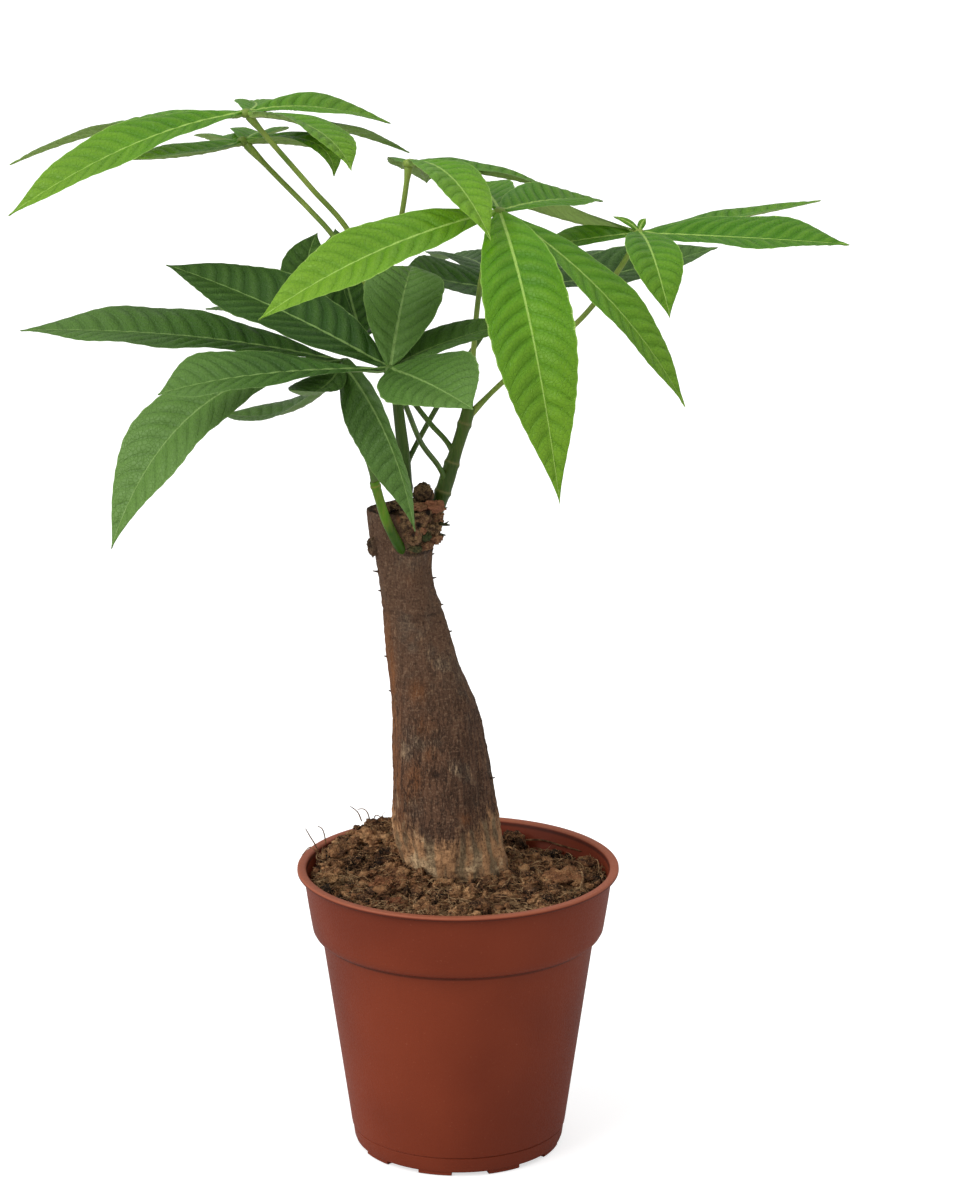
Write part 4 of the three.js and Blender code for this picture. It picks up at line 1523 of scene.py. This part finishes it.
    def thorn(self, mesher: Mesher, height: float, angle: float, length: float) -> None:
        """Adds a small spike that stands on the bark.

        Args:
            mesher: The mesh.
            height: Its height.
            angle: Its angle round the trunk.
            length: How far it stands out.
        """
        share = min((i / self.steps for i in range(self.steps)), key=lambda s: abs(self.curve(s)[0] - height))
        foot = self.body(share, angle / math.tau)
        outward = Vector((math.cos(angle), math.sin(angle), 0.15))
        self.spike(mesher, foot - outward * 0.8, foot + outward * length, 0.55, tone=0.3)

    @staticmethod
    def spike(mesher: Mesher, root: Vector, end: Vector, size: float, **values: float) -> None:
        """Adds a small blunt spike from the bark."""
        line = bent(root, (root + end) / 2 + Vector((0, 0, -0.15)), end)
        mesher.strand(line, steps=8, sides=10, thick=size, values=values, thin=0.25, upper=(0, -1, 0.2))


@dataclass
class Pot:
    """The nursery pot: a thin tapered wall, a wider band, a rolled rim, nine low feet and drain holes."""

    height: float = 108.5
    rim_radius: float = 60.0
    rim_depth: float = 1.6
    rim_roll: float = 0.55
    band_top: float = 57.6
    band_foot: float = 54.7
    shelf: float = 81.9
    body_top: float = 50.9
    body_foot: float = 40.4
    ring_radius: float = 39.4
    ring_height: float = 8.4
    underside: float = 1.2
    floor_top: float = 2.6
    wall: float = 1.2
    sides: int = 180
    feet: int = 9
    first_foot: float = -13.0
    foot_width: float = 19.0
    foot_inner: float = 31.0
    foot_outer: float = 38.4
    foot_round: float = 0.3
    foot_root: float = 0.6
    foot_steps: int = 8
    drains: int = 6
    drain_radius: float = 3.5
    drain_circle: float = 22.0
    sharp: float = 38.0

    def profile(self) -> list[tuple[float, float]]:
        """The section of the pot, from the axis up the outside and down the inside.

        Returns:
            The radius and the height of each corner.
        """
        base, ring, lip = self.underside, self.ring_radius, self.ring_height
        foot, body, shelf = self.body_foot, self.body_top, self.shelf
        band, top, wall, roll = self.band_foot, self.band_top, self.wall, self.rim_roll
        rim_foot = self.height - self.rim_depth
        outer = [
            (0.0, base), (ring - 9, base), (ring - 1.4, base), (ring - 0.5, base + 0.5), (ring, base + 1.8),
            (ring + 0.5, lip - 1.8), (ring + 0.62, lip - 1.2), (ring + 0.3, lip - 0.9),
            (foot - 0.1, lip - 0.5), (foot + 0.1, lip + 0.6),
        ]
        outer += [(between(foot, body, i / 9), between(lip, shelf, i / 9)) for i in range(1, 9)]
        outer += [
            (body - 0.1, shelf - 0.8), (body + 0.15, shelf), (body + 0.7, shelf + 0.45),
            (band - 2.0, shelf + 1.0), (band - 1.0, shelf + 1.8), (band - 0.35, shelf + 3.0),
            (band, shelf + 4.8), (between(band, top, 0.5), shelf + 14),
            (top - 0.05, rim_foot - 0.9), (top + 0.1, rim_foot - 0.25), (top + 0.5, rim_foot),
        ]
        for i in range(9):
            turned = math.radians(-90 + 180 * i / 8)
            lift = self.rim_depth - 2 * roll if turned > 0 else 0.0
            outer.append((self.rim_radius - roll + roll * math.cos(turned),
                          rim_foot + roll + roll * math.sin(turned) + lift))
        inner = [
            (top - 0.3, self.height - 0.05), (top - 0.75, self.height - 0.3), (top - 1.1, self.height - 1.1),
            (band - wall, shelf + 5), (band - wall - 1.2, shelf + 3.2), (body - wall, shelf + 1.6),
            (foot - wall - 0.2, self.floor_top + 2), (foot - wall - 2, self.floor_top),
            (ring - 9, self.floor_top), (0.0, self.floor_top),
        ]
        return outer + inner

    def build(self, effects: Effects) -> None:
        """Builds the pot in the place of its solid.

        Args:
            effects: The shared shader groups.
        """
        mesher = Mesher()
        bm = mesher.bm
        chain = [bm.verts.new((radius, 0, height)) for radius, height in self.profile()]
        edges = [bm.edges.new(pair) for pair in zip(chain, chain[1:])]
        self.spin(bm, chain + edges, math.tau, self.sides, True)
        bmesh.ops.remove_doubles(bm, verts=bm.verts, dist=1e-4)
        for i in range(self.feet):
            self.foot(bm, -90 + self.first_foot + 360 / self.feet * i)
        for face in bm.faces:
            face.smooth = True
        piece = mesher.finish("pot_shell", [PlasticFinish().build(effects)], "pot_plastic", "pot")
        self.drill(piece)

    @staticmethod
    def spin(bm: bmesh.types.BMesh, geom: list, angle: float, steps: int, closed: bool) -> dict:
        """Turns a section round the pot's axis into a skin."""
        return bmesh.ops.spin(bm, geom=geom, cent=(0, 0, 0), axis=(0, 0, 1), dvec=(0, 0, 0), angle=angle,
                              steps=steps, use_merge=closed, use_duplicate=False)

    def foot(self, bm: bmesh.types.BMesh, middle: float) -> None:
        """Adds a low foot under the base, a slice of a ring with rounded edges.

        Args:
            bm: The mesh in the making.
            middle: The angle of its middle.
        """
        start = math.radians(middle - self.foot_width / 2)
        inner, outer, root = self.foot_inner, self.foot_outer, self.underside + self.foot_root
        low = self.foot_round
        section = [(inner, root), (inner, low), (inner + low, 0.0), (outer - low, 0.0), (outer, low),
                   (outer, root)]
        corners = [bm.verts.new(around(radius, start, height)) for radius, height in section]
        first = bm.faces.new(corners)
        made = self.spin(bm, list(first.edges), math.radians(self.foot_width), self.foot_steps, False)
        bm.faces.new([vert for vert in made["geom_last"] if isinstance(vert, bmesh.types.BMVert)])

    def drill(self, piece: bpy.types.Object) -> None:
        """Cuts the drain holes through the floor.

        Args:
            piece: The pot.
        """
        bm = bmesh.new()
        for i in range(self.drains):
            angle = math.tau * i / self.drains
            made = bmesh.ops.create_cone(bm, cap_ends=True, segments=28, radius1=self.drain_radius * METRE,
                                         radius2=self.drain_radius * METRE, depth=3 * self.floor_top * METRE)
            centre = around(self.drain_circle, angle, self.floor_top / 2) * METRE
            bmesh.ops.translate(bm, vec=centre, verts=made["verts"])
        mesh = to_mesh(bm, "drain drills")
        drills = add_object("drain_drills", mesh)
        cut = piece.modifiers.new("drain holes", "BOOLEAN")
        cut.operation, cut.object, cut.solver = "DIFFERENCE", drills, "EXACT"
        bpy.context.view_layer.update()
        done = bpy.data.meshes.new_from_object(piece.evaluated_get(bpy.context.evaluated_depsgraph_get()))
        piece.modifiers.clear()
        old, piece.data = piece.data, done
        done.name = piece.name
        bpy.data.meshes.remove(old)
        bpy.data.objects.remove(drills)
        bpy.data.meshes.remove(mesh)
        done.set_sharp_from_angle(angle=math.radians(self.sharp))


@dataclass(frozen=True)
class Patch:
    """A patch of soil with a shade of its own: its middle, its size, how much lighter, redder and greener."""

    x: float
    y: float
    size: float
    tone: float
    warm: float = 0.0
    moss: float = 0.0


@dataclass
class Soil:
    """The soil: a broken surface over a plain plug, with clods, crumbs and fibres on it.

    A hill is its place to the right and to the back, its rise and its width. The hole gives the trunk's
    place to the right and its radius. Clods are middles, half sizes and how red they are, and strands are
    points with a radius and a tone.
    """

    pot: Pot
    level: float = 105.5
    edge_drop: float = 1.5
    mound: Hill = (-31, 26, 8.5, 19)
    mound_fade: float = 0.55
    hollow: Hill = (34, 42, -6, 16)
    collar: Hill = (2, -2, 6, 17)
    clearance: float = 0.4
    hole: tuple[float, float] = (1.0, 18.6)
    reach: float = 54.6
    rings: int = 118
    sides: int = 330
    wave: float = 0.7
    wave_width: float = 5.5
    crumbs: int = 1900
    crumb_size: tuple[float, float] = (0.4, 1.9)
    fibres: int = 4300
    fibre_length: tuple[float, float] = (2.2, 6.5)
    fibre_radius: tuple[float, float] = (0.12, 0.34)
    batch: int = 60
    seed: int = 23
    patches: tuple[Patch, ...] = (
        # The dark patch at (-31, -1) is painted shade below the tan clump, and the dark patches at (36, 30)
        # and (24, 44) are painted shade in the hollow at the back right.
        Patch(-33, 17, 7, 0.34), Patch(-38.5, 19, 5, 0.26), Patch(-26.5, -16.5, 7, 0.16, warm=0.7),
        Patch(-22, -35, 4, 0.05, warm=0.6), Patch(-31, -1, 5, -0.34), Patch(-40, 2, 6, -0.28),
        Patch(-45, -12, 7, 0.12, moss=0.4), Patch(-36, -30, 6, -0.2), Patch(-6, -37, 9, 0.16),
        Patch(6, -33, 8, 0.18), Patch(22, -38, 9, 0.14), Patch(43, -24, 6, 0.06, moss=0.3),
        Patch(30, -21, 7, 0.1), Patch(49, 20, 7, 0.02, moss=0.3), Patch(36, 30, 8, -0.2),
        Patch(24, 44, 6, -0.3), Patch(34, 8, 7, -0.1, warm=0.2), Patch(47, -4, 5, -0.24),
        Patch(-17.6, -27, 4, -0.12), Patch(14, -24, 5, -0.14),
    )
    clods: tuple[tuple[Point, Point, float], ...] = (
        ((38.7, -12, 106.6), (5.4, 4.6, 4.4), 0.34), ((20.6, 45.8, 102.8), (3.4, 2.6, 3.4), 0.0),
        ((48.6, 15.2, 103.6), (2.6, 3, 2.6), 0.2), ((-22, -36, 106), (2.4, 2, 1.9), 0.8),
        ((-27.5, -18, 106.6), (4.5, 3.6, 2.4), 0.7), ((-33.6, 17, 113.4), (5, 4, 2.4), 0.1),
        ((-44, 8, 110.6), (4.4, 3.6, 2.6), 0.0), ((-30, 34, 112.6), (5, 3, 3.0), 0.0),
        ((-47, -6, 107), (3.6, 3.2, 2.2), 0.0), ((28, -30, 105.6), (3.2, 2.6, 1.8), 0.2),
        ((46, 8, 104.6), (3.4, 3.4, 2.6), 0.1),
    )
    strands: tuple[tuple[tuple[Point, ...], float, float], ...] = (
        (((45.7, -21.4, 103.8), (45.2, -21.4, 107), (46, -21.6, 110.4), (45.4, -22, 113.6)), 0.5, 1.0),
        (((24, 47, 102.6), (32, 44.5, 103.4), (40, 38.6, 103), (47.6, 29.6, 103.6)), 0.45, 0.3),
        (((-52.5, 12, 109), (-54, 11.2, 113), (-55.6, 10.6, 116), (-57.4, 10, 119.6)), 0.3, 0.55),
        (((-51, 5, 108.4), (-53.4, 4, 112.6), (-55.5, 3.4, 114.2), (-58.6, 2.6, 111)), 0.28, 0.55),
        (((-50, 17, 110.6), (-50.5, 16.6, 114.6), (-51.4, 16, 117.4), (-53.2, 15.6, 118.6)), 0.27, 0.55),
        (((-37, 37.5, 113), (-38.4, 37.5, 116.6), (-40, 37.2, 118.4), (-41.6, 37, 119.6)), 0.28, 0.55),
        (((-34, 39, 113), (-35, 39, 116.4), (-36.6, 39, 117.8), (-39, 39, 117.6)), 0.28, 0.55),
        (((-48, 10, 110.6), (-45.5, 9.2, 114.2), (-42, 8.8, 114.6), (-38, 8.4, 112.6)), 0.26, 0.5),
        (((-31, 18, 118), (-29, 17, 115.4), (-26, 15.5, 112.4), (-23.6, 14, 110)), 0.24, 0.6),
        (((-49.5, -1, 108.2), (-47, -2, 111), (-43.4, -2.6, 110.8), (-41, -3, 108)), 0.24, 0.5),
    )

    def height(self, x: float, y: float) -> float:
        """The height of the soil's surface without its crumbs.

        Args:
            x: How far the place lies to the right.
            y: How far it lies to the back.

        Returns:
            The height.
        """
        def swell(spot: Hill) -> float:
            """How much a mound or hollow adds here."""
            return spot[2] * math.exp(-((x - spot[0]) ** 2 + (y - spot[1]) ** 2) / (2 * spot[3] ** 2))

        edge = smooth(44, self.pot.band_top - self.pot.wall, math.hypot(x, y))
        clods = self.wave * math.sin(x / self.wave_width + 1) * math.cos(y / self.wave_width - 0.5)
        hills = swell(self.mound) * (1 - self.mound_fade * edge) + swell(self.hollow) + swell(self.collar)
        return self.level + hills + clods - self.edge_drop * edge

    def relief(self, x: float, y: float) -> float:
        """The clods, lumps, grains and holes of the surface at a place.

        Args:
            x: How far the place lies to the right.
            y: How far it lies to the back.

        Returns:
            How far they rise there.
        """
        spot = Vector((x, y, 0))
        aside = Vector((noise.noise(spot * 0.3), noise.noise(spot * 0.3 + Vector((7, 3, 1))), 0))
        moved = spot + aside * 2.4
        lump = cell(moved * 0.2, 0.42)
        crumb = cell(moved * 0.62 + Vector((3, 5, 0)), 0.42)
        grain = cell(spot * 1.35 + Vector((1, 8, 0)), 0.42)
        cloud = 1.1 * noise.noise(spot * 0.16)
        return cloud + 5 * lump * (0.7 + noise.noise(spot * 0.1)) + 2.6 * crumb + 0.8 * grain

    def broken(self, x: float, y: float) -> float:
        """The height of the surface with its clods, lumps and holes."""
        fade = smooth(self.reach + 1.4, self.reach - 3, math.hypot(x, y))
        return self.height(x, y) + self.relief(x, y) * fade

    def spread(self, draw: random.Random) -> tuple[float, float]:
        """A place on the surface, drawn evenly, clear of the trunk and of the wall.

        Args:
            draw: The source of chance.

        Returns:
            The place.
        """
        while True:
            x, y = draw.uniform(-self.reach, self.reach), draw.uniform(-self.reach, self.reach)
            if math.hypot(x, y) < self.reach and math.hypot(x - self.hole[0], y) > self.hole[1] + 0.3:
                return x, y

    def shade(self, x: float, y: float) -> dict[str, float]:
        """The tone of the soil at a place from its patches, with painted shade in the hollow at the back
        right and below the tan clump.

        Args:
            x: How far the place lies to the right.
            y: How far it lies to the back.

        Returns:
            The values of the named layers.
        """
        values = {"tone": 0.42 + 0.5 * noise.noise(Vector((x * 0.22, y * 0.22, 4))), "warm": 0.0, "moss": 0.0}
        for patch in self.patches:
            near = math.exp(-((x - patch.x) ** 2 + (y - patch.y) ** 2) / patch.size ** 2)
            values["tone"] += patch.tone * near
            values["warm"] = max(values["warm"], patch.warm * near)
            values["moss"] = max(values["moss"], patch.moss * near)
        return values

    def build(self, effects: Effects) -> None:
        """Builds the soil in the place of its solid, and what lies on it.

        Args:
            effects: The shared shader groups.
        """
        shades = ((26, 16, 10), (76, 50, 33), (130, 90, 60), (170, 122, 82), (206, 158, 112))
        earth = EarthFinish("potting soil", shades).build(effects)
        straw = EarthFinish("root fibre", ((72, 47, 30), (120, 84, 56), (166, 124, 86), (210, 170, 126)),
                            grain_scale=1500.0, thread_share=0.0, reddish=(150, 96, 62)).build(effects)
        self.bed(earth)
        self.crumb_layer(earth)
        self.fibre_layer(straw)

    def bed(self, earth: bpy.types.Material) -> None:
        """Adds the plug of soil with its broken surface.

        Args:
            earth: The finish of soil.
        """
        pot, gap = self.pot, self.pot.wall + self.clearance
        low = pot.floor_top + self.clearance
        plug = [(0.0, low), (pot.body_foot - gap - 2, low), (pot.body_foot - gap, low + 2.2),
                (pot.body_top - gap, pot.shelf + 2.2), (pot.band_foot - gap - 1.6, pot.shelf + 4),
                (pot.band_foot - gap, pot.shelf + 6), (pot.band_foot - gap + 1.3, self.level - 9.5)]
        surface = self.rings - len(plug)
        outer = plug[-1][0]

        def place(share: float, turn: float) -> Vector:
            """The place on the skin of the plug.

            Args:
                share: The share of the way round its section.
                turn: The share of the girth.

            Returns:
                The place.
            """
            ring = round(share * self.rings)
            angle = math.tau * turn
            if ring < len(plug):
                radius, height = plug[ring]
                return around(radius, angle, height)
            inward = (ring - len(plug) + 1) / (surface + 1)
            radius = outer * (1 - inward)
            x, y = radius * math.cos(angle), radius * math.sin(angle)
            if ring == self.rings:
                return Vector((0, 0, self.level - 4))
            dip = 4 * smooth(self.hole[1] - 2, self.hole[1] - 5, math.hypot(x - self.hole[0], y))
            return Vector((x, y, self.broken(x, y) - dip))

        def values(share: float, turn: float) -> dict[str, float]:
            """The tone of the bed there, with painted shade in its holes and painted light on its lumps and
            grains.

            Args:
                share: The share of the way round its section.
                turn: The share of the girth.

            Returns:
                The values of the named layers.
            """
            spot = place(share, turn)
            values = self.shade(spot.x, spot.y)
            # Painted shade and light: the tone rises with the relief, darker in the holes and lighter on the
            # lumps and grains.
            values["tone"] = max(0.0, values["tone"] + 0.2 * self.relief(spot.x, spot.y))
            return values

        mesher = Mesher()
        mesher.wrap(self.rings, self.sides, place, values=values)
        mesher.finish("soil_bed", [earth], "earth", "soil")

    def crumb_layer(self, earth: bpy.types.Material) -> None:
        """Adds the clods and the crumbs, larger ones sparse and small ones dense.

        Args:
            earth: The finish of soil.
        """
        draw = random.Random(self.seed)
        noise.seed_set(self.seed)
        mesher = Mesher()
        for centre, reach, warm in self.clods:
            shade = self.shade(centre[0], centre[1])
            mesher.lump(Vector(centre), Vector(reach), 0.75, seed=centre[0], subdivisions=4, grain=0.3,
                        tone=max(0.25, shade["tone"]), warm=warm)
        for i in range(self.crumbs):
            x, y = self.spread(draw)
            size = self.crumb_size[0] + self.crumb_size[1] * draw.random() ** 3
            reach = Vector((draw.uniform(0.7, 1.4), draw.uniform(0.7, 1.4), draw.uniform(0.5, 0.9))) * size
            inward = min(1.0, (self.reach + 0.9 - 1.4 * size) / max(1.0, math.hypot(x, y)))
            x, y = x * inward, y * inward
            centre = Vector((x, y, self.broken(x, y) + 0.3 * size))
            shade = self.shade(x, y)
            shade["tone"] = clamp(shade["tone"] + draw.gauss(-0.05, 0.15))
            mesher.lump(centre, reach, 1.15, seed=draw.uniform(0, 90), **shade)
            if i % self.batch == self.batch - 1:
                mesher.set_aside()
        mesher.finish("soil_crumbs", [earth], "earth")

    def fibre_layer(self, straw: bpy.types.Material) -> None:
        """Adds the root fibres: fine curled strands, lightest at the front, and a few hairs over the rim.

        Args:
            straw: The finish of roots.
        """
        draw = random.Random(self.seed + 1)
        mesher = Mesher()
        for i in range(self.fibres):
            x, y = self.spread(draw)
            length = self.fibre_length[0] + self.fibre_length[1] * draw.random() ** 1.6
            ahead = Vector((draw.gauss(0, 1), draw.gauss(0, 1), draw.gauss(0.1, 0.35))).normalized()
            shade = self.shade(x, y)
            shade["tone"] = clamp(shade["tone"] + draw.gauss(0.36 - 0.004 * y, 0.28))
            start = Vector((x, y, self.broken(x, y) + 0.35)) - ahead * length / 2
            self.fibre(mesher, draw, start, ahead, length, shade)
            if i % self.batch == self.batch - 1:
                mesher.set_aside()
        for points, radius, tone in self.strands:
            mesher.strand(through(points), steps=16, sides=6, thick=radius, values={"tone": tone})
        mesher.finish("soil_fibres", [straw], "earth")

    def fibre(self, mesher: Mesher, draw: random.Random, start: Vector, ahead: Vector, length: float,
              shade: dict[str, float]) -> None:
        """Adds one curled fibre, kept inside the pot's wall.

        Args:
            mesher: The mesh.
            draw: The source of its curls.
            start: Where it starts.
            ahead: The way it runs.
            length: Its length.
            shade: The values of the named layers on it.
        """
        curl = noise.random_unit_vector() * length * draw.uniform(0.1, 0.4)
        middle, end = start + ahead * length / 2 + curl, start + ahead * length
        radius = draw.uniform(*self.fibre_radius)

        def inside(spot: Vector) -> Vector:
            """The place drawn in from the wall and kept near the ground.

            Args:
                spot: The place.

            Returns:
                The place moved there.
            """
            share = min(1.0, (self.reach + 0.6) / max(1.0, math.hypot(spot.x, spot.y)))
            low = self.height(spot.x, spot.y)
            return Vector((spot.x * share, spot.y * share, min(max(spot.z, low - 0.6), low + 4.2)))

        mesher.strand(bent(inside(start), inside(middle), inside(end)), steps=6, sides=3, thick=radius,
                      values=shade)


@dataclass(frozen=True)
class Lamp:
    """A broad lamp: where it shines from, its strength and how many degrees wide it looks."""

    name: str
    place: Point
    strength: float
    spread: float


@dataclass
class Studio:
    """A plain pale floor, soft light and the camera at the photograph's angle."""

    camera_place: Point = (8.92, -1300.0, 546.7)
    camera_pitch: float = 14.5
    lens: float = 110.0
    sensor: float = 36.0
    ambient: float = 0.5
    paper: float = 0.6
    glow: float = 0.62
    floor_reach: float = 6.0
    floor_drop: float = 0.0002
    lamps: tuple[Lamp, ...] = (
        Lamp("key", (-2.0, -1.3, 1.5), 2.4, 50), Lamp("fill", (1.6, -1.2, 0.9), 0.45, 70),
        Lamp("top", (0.2, 0.3, 2.0), 0.8, 80),
    )

    def build(self) -> None:
        """Builds the floor, the lights and the camera."""
        self.floor()
        self.lights()
        self.camera()

    def floor(self) -> None:
        """Lays the pale floor."""
        bm = bmesh.new()
        bmesh.ops.create_grid(bm, x_segments=1, y_segments=1, size=self.floor_reach)
        material, board, shader = new_material("pale floor")
        seen = board.put("LightPath").outputs["Is Camera Ray"]
        board.fill(shader, {"Base Color": (self.paper, self.paper, self.paper, 1.0), "Emission Color": WHITE,
                            "Emission Strength": board.times(seen, self.glow), "Roughness": 1.0,
                            "Specular IOR Level": 0.0})
        floor = add_object("floor", to_mesh(bm, "floor"))
        floor.data.materials.append(material)
        floor.location.z = -self.floor_drop

    def lights(self) -> None:
        """Sets up pale surroundings, which the camera sees as white, and three broad soft lamps."""
        world = bpy.data.worlds.new("studio")
        bpy.context.scene.world = world
        world.use_nodes = True
        board = Board(world.node_tree)
        seen = board.put("LightPath").outputs["Is Camera Ray"]
        strength = board.put("MapRange", {"Value": seen, "To Min": self.ambient}).outputs[0]
        board.fill(world.node_tree.nodes["Background"], {"Color": WHITE, "Strength": strength})
        for lamp in self.lamps:
            light = bpy.data.lights.new(lamp.name, "SUN")
            light.energy, light.angle = lamp.strength, math.radians(lamp.spread)
            holder = add_object(lamp.name, light)
            holder.location = lamp.place
            holder.rotation_euler = Vector(lamp.place).to_track_quat("Z", "Y").to_euler()

    def camera(self) -> None:
        """Places the camera."""
        data = bpy.data.cameras.new("camera")
        data.lens, data.sensor_width, data.sensor_fit = self.lens, self.sensor, "AUTO"
        camera = add_object("camera", data)
        camera.location = Vector(self.camera_place) * METRE
        camera.rotation_euler = (math.radians(90 - self.camera_pitch), 0, 0)
        bpy.context.scene.camera = camera
        bpy.context.scene.view_settings.view_transform = "Standard"


def main() -> None:
    """Loads the frame and builds every piece over it."""
    logging.basicConfig(level=logging.INFO, format="%(name)s: %(message)s")
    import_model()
    effects = Effects()
    Studio().build()
    pot = Pot()
    pot.build(effects)
    Soil(pot).build(effects)
    Trunk().build(effects)
    Stems().build(effects)
    Foliage().build(effects)


if __name__ == "__main__":
    main()
